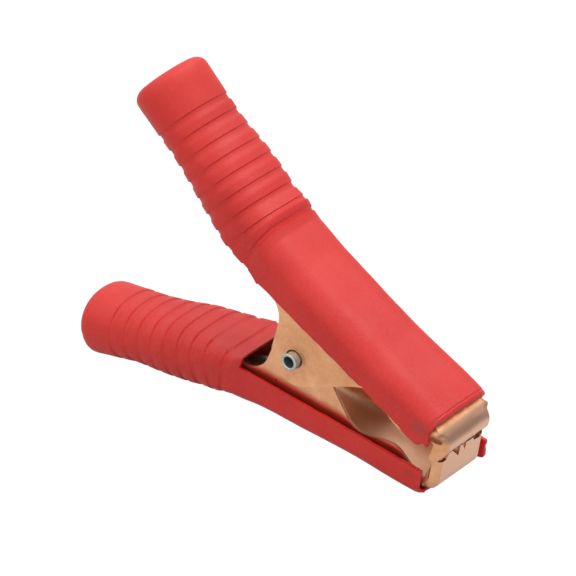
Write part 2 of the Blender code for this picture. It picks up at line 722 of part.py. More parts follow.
def main():
    for ob in list(bpy.data.objects):
        bpy.data.objects.remove(ob, do_unlink=True)
    coll = bpy.data.collections.new("alligator_clip")
    cutters = bpy.data.collections.new("cutters")
    for collection in (coll, cutters):
        bpy.context.scene.collection.children.link(collection)

    copper = material("copper_plate", colour=(0.72, 0.42, 0.26), roughness=0.35, metallic=1.0)
    pvc = material("red_pvc", colour=(0.72, 0.04, 0.03), roughness=0.45, metallic=0.0)
    zinc = material("zinc_plate", colour=(0.62, 0.66, 0.64), roughness=0.3, metallic=1.0)
    steel = material("spring_steel", colour=(0.42, 0.43, 0.44), roughness=0.35, metallic=1.0)

    root = new_object("clamp_frame", None, None, coll)
    hinge = new_object("jaw_pivot_axis", None, root, coll)

    build_jaw("lower_jaw", LOWER_HALF_W, -1, root, coll, cutters, copper)
    build_jaw("upper_jaw", UPPER_HALF_W, 1, hinge, coll, cutters, copper)
    lower_boot = build_boot("lower_grip_boot", -1, 0.0, LOWER_BOOT, lower_reach,
                            root, coll, pvc)
    build_boot("upper_grip_boot", 1, BOOT_SLIP, UPPER_BOOT, upper_reach, hinge, coll, pvc)
    build_sleeve(root, coll, zinc)
    build_rivet(root, coll, zinc)
    build_spring("torsion_spring", root, coll, steel)
    stand_on_ground(root, lower_boot, coll)


main()
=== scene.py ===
"""Looks of a sprung alligator clamp: copper-plated jaws, red PVC grip boots, hollow rivet.

Every piece is drawn in the jaw frame, in millimetres: origin on the pivot axis, +x to the nose
along the plane where the jaws meet, +y along the pivot, +z to the upper jaw. The pivot and the
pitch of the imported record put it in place. A lower piece is drawn like an upper one and
mirrored in z (side = -1). "Near" is the -y side and "far" the +y side.
"""
import bpy
import bmesh
import json
import math
from collections import namedtuple
from mathutils import Matrix, Vector, noise


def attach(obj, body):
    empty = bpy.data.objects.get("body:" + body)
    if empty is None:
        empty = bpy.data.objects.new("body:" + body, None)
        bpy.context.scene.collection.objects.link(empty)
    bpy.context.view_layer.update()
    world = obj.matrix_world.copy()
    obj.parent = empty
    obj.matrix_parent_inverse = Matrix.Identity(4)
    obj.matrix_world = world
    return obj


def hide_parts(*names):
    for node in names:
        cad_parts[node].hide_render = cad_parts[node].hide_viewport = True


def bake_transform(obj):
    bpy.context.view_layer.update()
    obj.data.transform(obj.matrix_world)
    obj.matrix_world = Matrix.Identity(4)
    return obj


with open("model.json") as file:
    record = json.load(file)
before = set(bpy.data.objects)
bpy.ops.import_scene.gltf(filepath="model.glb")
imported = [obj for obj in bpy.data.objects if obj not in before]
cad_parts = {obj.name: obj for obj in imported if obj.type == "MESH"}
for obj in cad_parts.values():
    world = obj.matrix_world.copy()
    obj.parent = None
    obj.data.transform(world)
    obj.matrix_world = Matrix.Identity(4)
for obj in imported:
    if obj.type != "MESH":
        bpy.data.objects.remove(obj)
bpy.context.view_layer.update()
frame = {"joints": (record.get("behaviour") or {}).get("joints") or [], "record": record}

# ---------------------------------------------------------------- jaw frame
MM = 0.001
WEB_SLOPE = math.radians(12.5)
PIVOT = Vector(frame["joints"][0]["pos_m"])
flat_axis = next(m for m in frame["record"]["mounts"] if m["name"] == "lower_boot_flat")["axis"]
PITCH = (math.atan2(-math.cos(WEB_SLOPE), math.sin(WEB_SLOPE))
         - math.atan2(flat_axis[2], flat_axis[0]))
PITCH = (PITCH + math.pi) % (2 * math.pi) - math.pi
JAW = Matrix.Translation(PIVOT) @ Matrix.Rotation(PITCH, 4, "Y") @ Matrix.Scale(MM, 4)


def jaw_direction(x, y, z):
    """Unit vector of the scene along a direction of the jaw frame."""
    return (JAW.to_3x3() @ Vector((x, y, z))).normalized()


TO_NOSE = jaw_direction(1.0, 0.0, 0.0)
TO_FAR = jaw_direction(0.0, 1.0, 0.0)
TO_TOP = jaw_direction(0.0, 0.0, 1.0)

# ---------------------------------------------------------------- dimensions, mm
# sheet-metal jaws; the web is the sloping plate that joins the two cheeks
SHEET = 1.0
GAP = 0.30
UPPER_HALF_W = 14.6
LOWER_HALF_W = UPPER_HALF_W - SHEET - GAP
WEB_REF = (59.0, 13.5)              # a point (x, z) on the web
WEB_EDGE = (6.7, 4.9)               # rounding of the long edges, in y and in depth
HOLE_R = 3.55                       # pivot hole
NOSE_X = 63.9
NOSE_CORNER_X = 66.9                # where web and nose plate would meet unrounded
NOSE_BEND_R = 5.5
NOSE_BEND_FROM_X = 57.5
UPPER_NOSE_FOOT = (NOSE_X - 1.4, -1.27)
LOWER_NOSE_FOOT = (NOSE_X + 0.1, -4.6)
NOSE_CUT = (3.2, 2.2)               # corner size of the upper and lower nose plate
NOSE_MIN_CORNER = 0.9
NOSE_WING = (4.9, 4.7, 3.4, 1.6)    # wing depth: bend start, bend end, mid plate, teeth
PLATE_ROWS = 10

# free edge of the cheeks: arc at the tail, arc round the eye, then a slope to the flange
EYE = (0.6, 0.0)
EYE_R = 10.3
SLOPE_X = 16.6
SLOPE_A = math.radians(40.0)
TAIL_ARC_C = (-20.4, 7.8)
TAIL_ARC_R = 10.2

# the grips lean away from each other behind the mouth
GRIP_A = math.radians(25.5)
GRIP_O = (-19.0, 23.0)
GRIP_DIR = (-math.cos(GRIP_A), math.sin(GRIP_A))
GRIP_NORMAL = (math.sin(GRIP_A), math.cos(GRIP_A))

# PVC boots: an open channel from the front to the mouth, then a closed tube
BOOT_WALL = 1.4
BOOT_TOP_WALL = 1.6
TUBE_WALL = 2.4
BOOT_HALF_W = UPPER_HALF_W + GAP + BOOT_WALL
BOOT_FRONT_X = 60.0
MOUTH_X = -18.0
RUN = BOOT_FRONT_X - MOUTH_X        # length of the channel
LIP_FRONT_Z = 4.0
LIP_MOUTH_Z = 18.2
LIP_SLOPE = (LIP_MOUTH_Z - LIP_FRONT_Z) / RUN
FRONT_LEAN = math.tan(WEB_SLOPE)
TUBE_CORNER_R = 11.0
CHANNEL_SQUARENESS = 4.0
PARTING_STEP = 0.26                 # the roof half of the tube stands in by this much
PARTING_H = 0.35
BOOT_WOBBLE = 0.22
COLS = 64                           # faces round half a boot section

# corners: ((y, z) radii at the front, (y, z) radii at the mouth)
# swell: how far the roof stands up everywhere, towards the mouth, towards the front
# dip: extra depth just behind the mouth; slip: slid tailwards; roll: turn-in of the front rim
BootShape = namedtuple("BootShape", "mouth_z mouth_r corners swell dip grip_length slip roll")
UPPER_BOOT = BootShape(mouth_z=16.4, mouth_r=3.0, corners=((7.5, 6.0), (10.0, 8.0)),
                       swell=(1.5, 1.1, 0.6), dip=1.0, grip_length=74.7, slip=4.8, roll=0.7)
LOWER_BOOT = BootShape(mouth_z=12.8, mouth_r=1.3, corners=((6.0, 4.6), (7.8, 5.8)),
                       swell=(0.0, 1.1, 0.6), dip=1.9, grip_length=73.5, slip=0.0, roll=0.5)

# tube against distance behind the mouth: (distance, value)
GRIP_OUTER = ((0, 9.6), (10, 11.2), (24, 12.2), (36, 12.0), (50, 11.4), (62, 12.1), (72, 12.8))
GRIP_INNER = ((0, 10.4), (14, 11.2), (28, 11.2), (38, 10.7), (50, 10.9), (60, 11.8), (72, 12.7))
GRIP_HALF_W = ((0, BOOT_HALF_W), (26, BOOT_HALF_W - 0.1), (48, 15.4), (72, 15.2))
GRIP_SQUARENESS = ((0, 4.0), (28, 2.8), (50, 2.25), (72, 2.15))

# moulded grooves, by the distance of their rear edge behind the mouth
GROOVES = [7.3 + 6.33 * i for i in range(9)]
GROOVE_W = 3.0
GROOVE_D = 0.50
GROOVE_FRONT_RAMP = 0.8
GROOVE_REAR_RAMP = 0.45

# tooth lines across the nose plates (y, z): coarse, uneven stamped teeth
UPPER_TEETH = (
    (-20, 1.0), (-14, 1.6), (-9.7, 2.5), (-8.7, 5.4), (-6.5, 5.5), (-6.0, 5.1), (-1.3, 5.0),
    (0.2, 4.5), (1.6, 5.1), (3.2, 4.6), (6.0, 4.9), (6.5, 5.7), (9.9, 5.6), (10.9, 4.3), (20, 3.9))
LOWER_TEETH = (
    (-20, 0.5), (-14, 0.9), (-9.1, 1.4), (-7.9, 3.5), (-6.4, 3.7), (-1.8, -0.6), (-1.4, 3.5),
    (0.0, 3.1), (1.7, 0.0), (2.0, 3.2), (3.6, 3.0), (5.9, 3.1), (6.6, 1.7), (9.9, 1.3),
    (10.9, 2.4), (20, 2.0))

# box-shaped notches, one on each side: ranges in x, y, z and a turn in degrees about a point
Notch = namedtuple("Notch", "x y z turn about")
UPPER_NOTCH = Notch((56.5, 62.6), (10.9, 18.0), (9.0, 11.4), -4.0, (60, 0, 10))
LOWER_NOTCH = Notch((62.0, 62.5), (12.5, 18.0), (-7.6, -1.4), -8.0, (62.2, 0, -5))

# hollow rivet and the sleeve round it
RIVET_HALF = UPPER_HALF_W + 3.2
RIVET_RIM = 0.9
RIVET_R = 2.45
RIVET_BORE_R = 2.15
SLEEVE_HALF = RIVET_HALF - RIVET_RIM - GAP


# ---------------------------------------------------------------- small helpers
def clamp01(v):
    return max(0.0, min(1.0, v))


def smooth(v):
    v = clamp01(v)
    return v * v * (3 - 2 * v)


def mix(a, b, t):
    return a + (b - a) * t


def hump(v, centre, width):
    """A smooth hump of height 1 at centre, 0 beyond width on each side."""
    return smooth(1 - abs(v - centre) / width)


def waver(x, y, z):
    return noise.noise(Vector((x, y, z)))


def web_z(x):
    return WEB_REF[1] - (x - WEB_REF[0]) * math.tan(WEB_SLOPE)


def mesh_object(name, bm, *materials):
    mesh = bpy.data.meshes.new(name)
    bm.to_mesh(mesh)
    bm.free()
    ob = bpy.data.objects.new(name, mesh)
    bpy.context.scene.collection.objects.link(ob)
    for material in materials:
        mesh.materials.append(material)
    return ob


def bridge(bm, first, second, closed=False):
    """Faces between two rows of vertices."""
    n = len(first)
    for i in range(n if closed else n - 1):
        j = (i + 1) % n
        bm.faces.new((first[i], first[j], second[j], second[i]))


def bridge_all(bm, rows, closed=False):
    for first, second in zip(rows, rows[1:]):
        bridge(bm, first, second, closed)


def fan(bm, ring, tip):
    for i in range(len(ring)):
        bm.faces.new((ring[i], ring[(i + 1) % len(ring)], tip))


def face_outwards(bm):
    bmesh.ops.recalc_face_normals(bm, faces=bm.faces)


def bake_modifiers(ob):
    """The object's mesh becomes its evaluated mesh."""
    bpy.context.view_layer.update()
    depsgraph = bpy.context.evaluated_depsgraph_get()
    baked = bpy.data.meshes.new_from_object(ob.evaluated_get(depsgraph), depsgraph=depsgraph)
    old = ob.data
    ob.modifiers.clear()
    ob.data = baked
    baked.name = ob.name
    bpy.data.meshes.remove(old)


def shade(ob, angle):
    """Smooth shading, sharp where faces turn by more than angle degrees."""
    ob.data.shade_smooth()
    ob.data.set_sharp_from_angle(angle=math.radians(angle))


def stand_in(ob, cad_name, half=None):
    """Hang the object on the empty of the half that carries it, and hide the CAD solid it replaces.
    """
    if half:
        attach(ob, half)
    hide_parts(cad_name)


# ---------------------------------------------------------------- shader helpers
def opaque(value):
    return (*value, 1) if isinstance(value, tuple) else value


class Shading:
    """Short calls that add nodes to one node tree; each returns an output socket."""

    def __init__(self, tree):
        self.tree = tree

    def feed(self, node, sources):
        """Give inputs their sockets or values; None leaves an input alone."""
        for key, value in sources.items():
            if isinstance(value, bpy.types.NodeSocket):
                self.tree.links.new(value, node.inputs[key])
            elif value is not None:
                node.inputs[key].default_value = value

    def node(self, kind, sources=None, **settings):
        node = self.tree.nodes.new("ShaderNode" + kind)
        for key, value in settings.items():
            setattr(node, key, value)
        self.feed(node, sources or {})
        return node

    def coords(self, kind="Object"):
        return self.node("TexCoord").outputs[kind]

    def normal(self):
        return self.node("NewGeometry").outputs["Normal"]

    def noise(self, vector, scale, detail=3.0, rough=0.55, distortion=0.0):
        return self.node("TexNoise", {
            "Vector": vector, "Scale": scale, "Detail": detail, "Roughness": rough,
            "Distortion": distortion}).outputs["Fac"]

    def ramp(self, value, at, to):
        """Two-stop ramp; a plain number in to is a grey."""
        node = self.node("ValToRGB", {"Fac": value})
        for stop, position, colour in zip(node.color_ramp.elements, at, to):
            stop.position = position
            stop.color = opaque(colour if isinstance(colour, tuple) else (colour,) * 3)
        return node.outputs["Color"]

    def tint(self, colour, over, mask, amount=None):
        """Lay the colour over on a colour where mask, times amount, is 1."""
        if amount is not None:
            mask = self.times(mask, amount)
        return self.node("Mix", {0: mask, 6: opaque(colour), 7: opaque(over)},
                         data_type="RGBA", blend_type="MIX").outputs[2]

    def math(self, operation, first, second=None, clamp=False):
        return self.node("Math", {0: first, 1: second},
                         operation=operation, use_clamp=clamp).outputs[0]

    def times(self, *factors, clamp=False):
        product = factors[0]
        for factor in factors[1:]:
            product = self.math("MULTIPLY", product, factor, clamp)
        return product

    def scaled(self, vector, scale, rotation=(0, 0, 0)):
        return self.node("Mapping", {"Scale": scale, "Rotation": rotation,
                                     "Vector": vector}).outputs["Vector"]

    def step(self, value, start, end, to=(0.0, 1.0)):
        """Smooth change from to[0] at start to to[1] at end; start may be above end."""
        return self.node("MapRange", {
            "Value": value, "From Min": start, "From Max": end, "To Min": to[0], "To Max": to[1],
        }, interpolation_type="SMOOTHSTEP").outputs["Result"]

    def near_point(self, vector, point, core, reach):
        """1 within core mm of a point of the jaw frame, fading to 0 at reach mm."""
        distance = self.node("VectorMath", {0: vector, 1: JAW @ Vector(point)},
                             operation="DISTANCE").outputs["Value"]
        return self.step(distance, core * MM, reach * MM, to=(1.0, 0.0))

    def dot(self, vector, direction):
        return self.node("VectorMath", {0: vector, 1: direction},
                         operation="DOT_PRODUCT").outputs["Value"]

    def along(self, vector, direction):
        """Jaw-frame coordinate in mm along a direction from the pivot."""
        offset = self.math("SUBTRACT", self.dot(vector, direction), direction.dot(PIVOT))
        return self.math("MULTIPLY", offset, 1000.0)

    def bump(self, height, strength, distance, under=None):
        """Bump normal on top of the one under it; distance in metres."""
        return self.node("Bump", {"Height": height, "Strength": strength, "Distance": distance,
                                  "Normal": under}).outputs["Normal"]


def new_material(name):
    material = bpy.data.materials.new(name)
    material.use_nodes = True
    tree = material.node_tree
    return material, Shading(tree), tree.nodes["Principled BSDF"]


# ---------------------------------------------------------------- materials
# point: jaw frame, mm; core, reach: radii in mm of full strength and of the end of the fade
Smudge = namedtuple("Smudge", "point core reach amount colour")


def pvc_material(name, smudges):
    """Red PVC: broad mottling, fine grain, dust specks and smudges."""
    material, g, bsdf = new_material(name)
    coords = g.coords()
    broad = g.noise(coords, scale=34.0, detail=2.0)
    fine = g.noise(coords, scale=900.0, rough=0.7)
    speck = g.noise(coords, scale=2600.0, detail=1.0, rough=0.5)
    colour = g.ramp(broad, at=(0.30, 0.70), to=((0.59, 0.015, 0.011), (0.71, 0.026, 0.019)))
    colour = g.tint(colour, (0.76, 0.06, 0.045), mask=g.ramp(fine, at=(0.35, 0.75), to=(0, 0.35)))
    dust = g.noise(coords, scale=420.0, detail=4.0, rough=0.7)
    colour = g.tint(colour, (0.80, 0.30, 0.24), mask=g.ramp(dust, at=(0.70, 0.80), to=(0, 0.22)))
    for smudge in smudges:
        spot = g.near_point(coords, smudge.point, smudge.core, smudge.reach)
        cloud = g.times(g.noise(coords, scale=300.0, detail=4.0), 1.5 * smudge.amount)
        colour = g.tint(colour, smudge.colour, mask=g.times(spot, cloud, clamp=True))
    roughness = g.ramp(g.noise(coords, scale=120.0), at=(0.3, 0.7), to=(0.40, 0.52))
    normal = g.bump(g.noise(coords, scale=60.0, detail=2.0), strength=0.25, distance=0.0006)
    normal = g.bump(fine, strength=0.22, distance=0.00012, under=normal)
    normal = g.bump(speck, strength=0.10, distance=0.00006, under=normal)
    g.feed(bsdf, {"Base Color": colour, "Roughness": roughness, "Specular IOR Level": 0.42,
                  "Normal": normal})
    return material


def lip_reflection(g, coords, along, off):
    """Mask of the painted red reflection and shade of the boot's lip on the cheek beside it, on the
    outer faces only.
    """
    lip_height = g.math("ADD", g.times(along, -LIP_SLOPE), LIP_FRONT_Z + BOOT_FRONT_X * LIP_SLOPE)
    near_lip = g.step(g.math("SUBTRACT", off, lip_height), start=-4.6, end=-0.6)
    normal_parts = g.node("SeparateXYZ", {0: g.normal()}).outputs
    outer = g.times(normal_parts[1], g.along(coords, TO_FAR))
    return g.times(near_lip, g.step(outer, start=2.0, end=9.0),
                   g.step(along, start=58.0, end=50.0))


def punch_ring(g, coords):
    """Height of a faint raised circle round the pivot hole, metres."""
    ring_r, ring_width = 0.0051, 0.0007
    parts = g.node("SeparateXYZ", {0: coords}).outputs
    dx = g.math("SUBTRACT", parts[0], PIVOT.x)
    dz = g.math("SUBTRACT", parts[2], PIVOT.z)
    radius = g.math("SQRT", g.math("ADD", g.times(dx, dx), g.times(dz, dz)))
    return g.step(g.math("ABSOLUTE", g.math("SUBTRACT", radius, ring_r)),
                  start=0.0, end=ring_width, to=(1.0, 0.0))


def copper_material(name, light, deep, roughness, ring=True, lip=False):
    """Copper-plated steel: brushed along the sheet, cloudy stains, small pits."""
    material, g, bsdf = new_material(name)
    coords = g.coords()
    brushed = g.scaled(coords, (120.0, 900.0, 1500.0), rotation=(0, -PITCH, 0))
    lines = g.noise(brushed, scale=1.0, detail=4.0, rough=0.65)
    cloud = g.noise(coords, scale=70.0, detail=5.0, rough=0.6, distortion=0.6)
    stain = g.noise(coords, scale=230.0, detail=6.0, rough=0.72, distortion=0.3)
    stain_shade = (0.86, 0.80, 0.72)
    line_shade = 0.7
    colour = g.ramp(cloud, at=(0.28, 0.62), to=(deep, light))
    colour = g.tint(colour, tuple(c * k for c, k in zip(deep, stain_shade)),
                    mask=g.ramp(stain, at=(0.45, 0.80), to=(0, 0.55)))
    colour = g.tint(colour, tuple(c * line_shade for c in deep),
                    mask=g.ramp(lines, at=(0.30, 0.62), to=(0.16, 0)))

    # paler, pinker nose plates, and painted shade on the inside of the lower jaw
    along = g.along(coords, TO_NOSE)
    off = g.math("ABSOLUTE", g.along(coords, TO_TOP))
    normal = g.normal()
    across = g.math("ABSOLUTE", g.dot(normal, TO_FAR))
    plate = g.times(g.step(along, start=59.5, end=63.0), g.step(across, start=0.62, end=0.30))
    # painted shade: darker, duller copper on the up-facing inner faces below the jaw plane
    inside = g.times(g.step(g.dot(normal, TO_TOP), start=0.3, end=0.7),
                     g.step(g.along(coords, TO_TOP), start=0.0, end=-2.0))
    colour = g.tint(colour, (0.92, 0.60, 0.44), mask=plate, amount=0.75)
    colour = g.tint(colour, (0.66, 0.44, 0.33), mask=inside, amount=0.55)

    # dark streaky band on the nose bend and on the top face behind it
    streak = g.noise(g.scaled(coords, (260.0, 60.0, 260.0)), scale=1.0, detail=4.0, rough=0.6)
    streak = g.ramp(streak, at=(0.22, 0.50), to=(0.35, 1))
    bend = g.times(g.step(along, start=58.5, end=61.0), g.step(off, start=9.8, end=12.2), streak)
    colour = g.tint(colour, (0.36, 0.20, 0.13), mask=bend, amount=0.80)
    top = g.times(g.step(g.dot(normal, TO_TOP), start=0.15, end=0.6),
                  g.step(along, start=59.8, end=61.2),
                  g.step(g.along(coords, TO_TOP), start=8.0, end=10.0), streak)
    colour = g.tint(colour, (0.36, 0.20, 0.135), mask=top, amount=0.85)
    if lip:
        # painted red reflection and shade of the boot's lip on the lower cheek
        colour = g.tint(colour, (0.62, 0.030, 0.018), amount=0.9,
                        mask=lip_reflection(g, coords, along, off))

    # painted shade on the faces between the teeth and on the rear of the nose plates
    seam_shade = g.times(g.step(g.math("ABSOLUTE", g.dot(normal, TO_NOSE)), start=0.60, end=0.35),
                   g.times(g.step(along, start=60.0, end=60.8), g.step(off, start=7.0, end=6.2)),
                   g.step(across, start=0.85, end=0.6))
    behind = g.times(g.step(g.dot(normal, TO_NOSE), start=-0.25, end=-0.6),
                     g.step(along, start=57.0, end=59.0))
    behind_shade_strength = 0.8
    seam_shade = g.math("MAXIMUM", seam_shade, g.times(behind, behind_shade_strength))
    # painted shade: near-black in the seam between the teeth and inside the nose
    colour = g.tint(colour, (0.10, 0.035, 0.022), mask=seam_shade, amount=0.93)

    # pits, in patches
    cells = g.node("TexVoronoi", {"Scale": 150.0, "Randomness": 1.0, "Vector": coords})
    pit = g.ramp(cells.outputs["Distance"], at=(0.035, 0.075), to=(1, 0))
    patches = g.ramp(g.noise(coords, scale=90.0, detail=1.0), at=(0.52, 0.56), to=(0, 1))
    colour = g.tint(colour, (0.05, 0.03, 0.02), mask=g.times(pit, patches), amount=0.85)

    bumps = g.bump(lines, strength=0.10, distance=0.00006)
    bumps = g.bump(stain, strength=0.16, distance=0.00010, under=bumps)
    bumps = g.bump(g.noise(coords, scale=40.0, detail=2.0), strength=0.25, distance=0.0005,
                   under=bumps)
    if ring:
        bumps = g.bump(punch_ring(g, coords), strength=0.35, distance=0.00025, under=bumps)
    g.feed(bsdf, {"Base Color": colour, "Metallic": 0.85, "Normal": bumps,
                  "Roughness": g.ramp(stain, at=(0.3, 0.75), to=roughness)})
    return material


def steel_material(name, light, dark, rough, scale=500.0):
    material, g, bsdf = new_material(name)
    coords = g.coords()
    grain = g.noise(coords, scale=scale, detail=5.0, rough=0.7)
    bumps = g.bump(g.noise(coords, scale=scale * 2), strength=0.20, distance=0.00008)
    bumps = g.bump(g.noise(coords, scale=260.0, detail=2.0), strength=0.2, distance=0.0002,
                   under=bumps)
    g.feed(bsdf, {"Base Color": g.ramp(grain, at=(0.35, 0.62), to=(dark, light)),
                  "Metallic": 0.92, "Normal": bumps,
                  "Roughness": g.ramp(grain, at=(0.3, 0.7), to=(rough + 0.12, rough))})
    return material


# ---------------------------------------------------------------- jaws
def cheek_edge(x):
    """Height of the cheek's free edge at x."""
    if x < TAIL_ARC_C[0] + TAIL_ARC_R:
        return TAIL_ARC_C[1] + math.sqrt(TAIL_ARC_R ** 2 - (x - TAIL_ARC_C[0]) ** 2)
    tangent_x = EYE[0] + EYE_R * math.sin(SLOPE_A)
    if x <= tangent_x:
        return EYE[1] - math.sqrt(max(0.0, EYE_R ** 2 - (x - EYE[0]) ** 2))
    line = (x - SLOPE_X) * math.tan(SLOPE_A)
    flange = 6.9 + 2.7 * math.cos((x - 31.0) / 16.0 * math.pi)
    if x > 47.0:
        flange = 4.2 + 4.2 * smooth((x - 47.0) / 13.0)
    # soft minimum of the slope and the flange
    softness = 0.9
    return -math.log(math.exp(-line / softness) + math.exp(-flange / softness)) * softness


def fillet(before, corner, after, radius, step):
    """Arc points that round a corner, the arc's centre and the direction towards after."""
    corner = Vector(corner)
    back, ahead = (Vector(before) - corner).normalized(), (Vector(after) - corner).normalized()
    turn = math.pi - back.angle(ahead)
    tangent = radius * math.tan(turn / 2)
    centre = corner + (back + ahead).normalized() * (radius / math.cos(turn / 2))
    start, end = corner + back * tangent, corner + ahead * tangent
    start_a = math.atan2(start.y - centre.y, start.x - centre.x)
    end_a = math.atan2(end.y - centre.y, end.x - centre.x)
    sweep = (end_a - start_a + math.pi) % (2 * math.pi) - math.pi
    n = int(round(abs(sweep) / step))
    arc = []
    for i in range(n + 1):
        a = start_a + sweep * i / n
        arc.append((centre.x + radius * math.cos(a), centre.y + radius * math.sin(a)))
    return arc, centre, ahead


def on_grip(distance, off):
    """Point (x, z) at a distance along the grip axis and off it."""
    return tuple(GRIP_O[i] + GRIP_DIR[i] * distance + GRIP_NORMAL[i] * off for i in (0, 1))


def cheek_stations():
    """x of the rows between the grip and the nose bend."""
    tail_deg = (0, 8, 16, 24, 32, 40, 48, 55, 62, 68, 74, 79, 84, 88)
    eye_deg = (5, 9, 14, 20, 26, 33, 40, 48, 56, 64, 73, 82, 90, 100, 110, 120, 130)
    xs = [TAIL_ARC_C[0] + TAIL_ARC_R * math.sin(math.radians(a)) for a in tail_deg]
    xs += [EYE[0] - EYE_R * math.cos(math.radians(a)) for a in eye_deg]
    return xs + [
        8.4, 10.0, 12.0, 14.0, 15.5, 17.0, 18.5, 20.0, 21.0, 22.0, 22.8, 23.5, 24.2, 24.9, 25.6,
        26.4, 27.4, 28.6, 30.0, 31.5, 33.0, 34.5, 36.0, 37.5, 39.0, 40.5, 42.0, 43.5, 45.0, 46.0,
        47.0, 48.5, 50.0, 51.5, 53.0, 54.5, 56.0]


def jaw_rows(side):
    """(web point, free-edge point, half-width factor) from the tail to the teeth."""
    rows = []
    for u in (46.0, 41.0, 36.0, 31.0, 26.0, 21.0, 16.0, 12.0, 9.0):
        t = smooth((u - 3.0) / 20.0)
        rows.append((on_grip(u, mix(5.9, 5.6, t)), on_grip(u, mix(-4.0, -2.0, t)),
                     mix(1.0, 0.62, smooth((u - 2.0) / 24.0))))
    for x in cheek_stations():
        rows.append(((x, web_z(x)), (x, cheek_edge(x)), 1.0))

    # nose bend, its wings reaching towards the centre of the bend
    bend_wing, wing, mid_wing, tooth_wing = NOSE_WING
    foot = UPPER_NOSE_FOOT if side > 0 else LOWER_NOSE_FOOT
    arc, centre, down = fillet((NOSE_BEND_FROM_X, web_z(NOSE_BEND_FROM_X)),
                               (NOSE_CORNER_X, web_z(NOSE_CORNER_X)), foot,
                               NOSE_BEND_R, step=math.radians(6))
    for i, point in enumerate(arc):
        web = Vector(point)
        depth = mix(bend_wing, wing, i / (len(arc) - 1))
        rows.append(((web.x, web.y), tuple(web + (centre - web).normalized() * depth), 1.0))

    # flat nose plate
    tailwards = Vector((down.y, -down.x))
    start, end = Vector(arc[-1]), Vector(foot)
    for i in range(1, PLATE_ROWS + 1):
        t = i / PLATE_ROWS
        web = start.lerp(end, t)
        if t < 0.5:
            depth = mix(wing, mid_wing, smooth(t / 0.5))
        else:
            depth = mix(mid_wing, tooth_wing, smooth((t - 0.5) / 0.5))
        rows.append(((web.x, web.y), tuple(web + tailwards * depth), 1.0))
    return rows


def jaw_section(row, half_w, side):
    """U-shaped row of points from the near free edge to the far one."""
    (web_x, web_h), edge, width = row
    half_w *= width
    web, edge = Vector((web_x, web_h)), Vector(edge)
    depth = (edge - web).length
    to_edge = (edge - web) / depth
    nearing = smooth((web_x - 52.0) / 11.0)
    at_nose = smooth((web_x - 60.0) / 3.0)
    cut = NOSE_CUT[0] * smooth((web_h - 1.5) / 6.5) if side > 0 else NOSE_CUT[1]
    cut *= at_nose
    corner_w = mix(WEB_EDGE[0], max(cut, NOSE_MIN_CORNER), nearing)
    corner_d = min(mix(WEB_EDGE[1], max(1.35 * cut, NOSE_MIN_CORNER), nearing), depth * 0.8)
    near = [(-half_w, mix(depth, corner_d, i / 4)) for i in range(5)]
    # the rounded corner flattens to a chamfer at the nose
    chamfer = 0.75 * at_nose
    for i in range(1, 7):
        a = math.radians(15 * i)
        near.append((-half_w + corner_w * mix(1 - math.cos(a), i / 6, chamfer),
                     corner_d * mix(1 - math.sin(a), 1 - i / 6, chamfer)))
    for i in range(1, 5):
        near.append((mix(-half_w + corner_w, 0.0, i / 5), 0.0))
    section = []
    for y, t in near + [(0.0, 0.0)] + [(-y, t) for y, t in reversed(near)]:
        point = web + to_edge * t
        section.append(Vector((point.x, y, point.y * side)))
    return section


def notch_cutters(name, notch):
    """The notch's box on the near side and on the far side."""
    turn, about = Matrix.Rotation(math.radians(notch.turn), 3, "Y"), Vector(notch.about)
    inner, outer = notch.y
    cutters = []
    for i, y_range in enumerate(((-outer, -inner), (inner, outer))):
        bm = bmesh.new()
        bmesh.ops.create_cube(bm, size=1.0)
        for v in bm.verts:
            ranges = (notch.x, y_range, notch.z)
            point = Vector(mix(low, high, c + 0.5) for (low, high), c in zip(ranges, v.co))
            v.co = JAW @ (turn @ (point - about) + about)
        cutters.append(mesh_object(name + "_cut%d" % i, bm))
    return cutters


def tooth_cutter(name, line, side):
    """Everything beyond the jaw's own tooth line, over the nose plate's depth."""
    far = -6.0 if side > 0 else 8.0
    outline = list(line) + [(line[-1][0], far), (line[0][0], far)]
    bm = bmesh.new()
    rear, front = ([bm.verts.new(JAW @ Vector((x, y, z))) for y, z in outline]
                   for x in (NOSE_X - 9, NOSE_X + 6))
    bridge(bm, rear, front, closed=True)
    bm.faces.new(rear[::-1])
    bm.faces.new(front)
    bmesh.ops.triangulate(bm, faces=bm.faces)
    if bm.calc_volume(signed=True) < 0:
        bmesh.ops.reverse_faces(bm, faces=bm.faces)
    return mesh_object(name, bm)


def hole_cutter(name, radius):
    bm = bmesh.new()
    bmesh.ops.create_cone(bm, cap_ends=True, segments=72, radius1=radius, radius2=radius,
                          depth=60, matrix=JAW @ Matrix.Rotation(math.radians(90), 4, "X"))
    return mesh_object(name, bm)


def jaw_surface(half_w, side):
    """Outer face of the sheet, with normals outwards."""
    bm = bmesh.new()
    rows = []
    for row in jaw_rows(side):
        line = []
        for p in jaw_section(row, half_w, side):
            # the stamped sheet is not quite flat
            rise = waver(p.x * 0.09, p.y * 0.11, p.z * 0.11 + side * 7) * 0.10
            line.append(bm.verts.new(JAW @ Vector((p.x, p.y, p.z + rise * side))))
        rows.append(line)
    bridge_all(bm, rows)
    face_outwards(bm)
    top = max(bm.faces, key=lambda f: (f.calc_center_median() - PIVOT).z * side)
    if top.normal.z * side < 0:
        bmesh.ops.reverse_faces(bm, faces=bm.faces)
    return bm


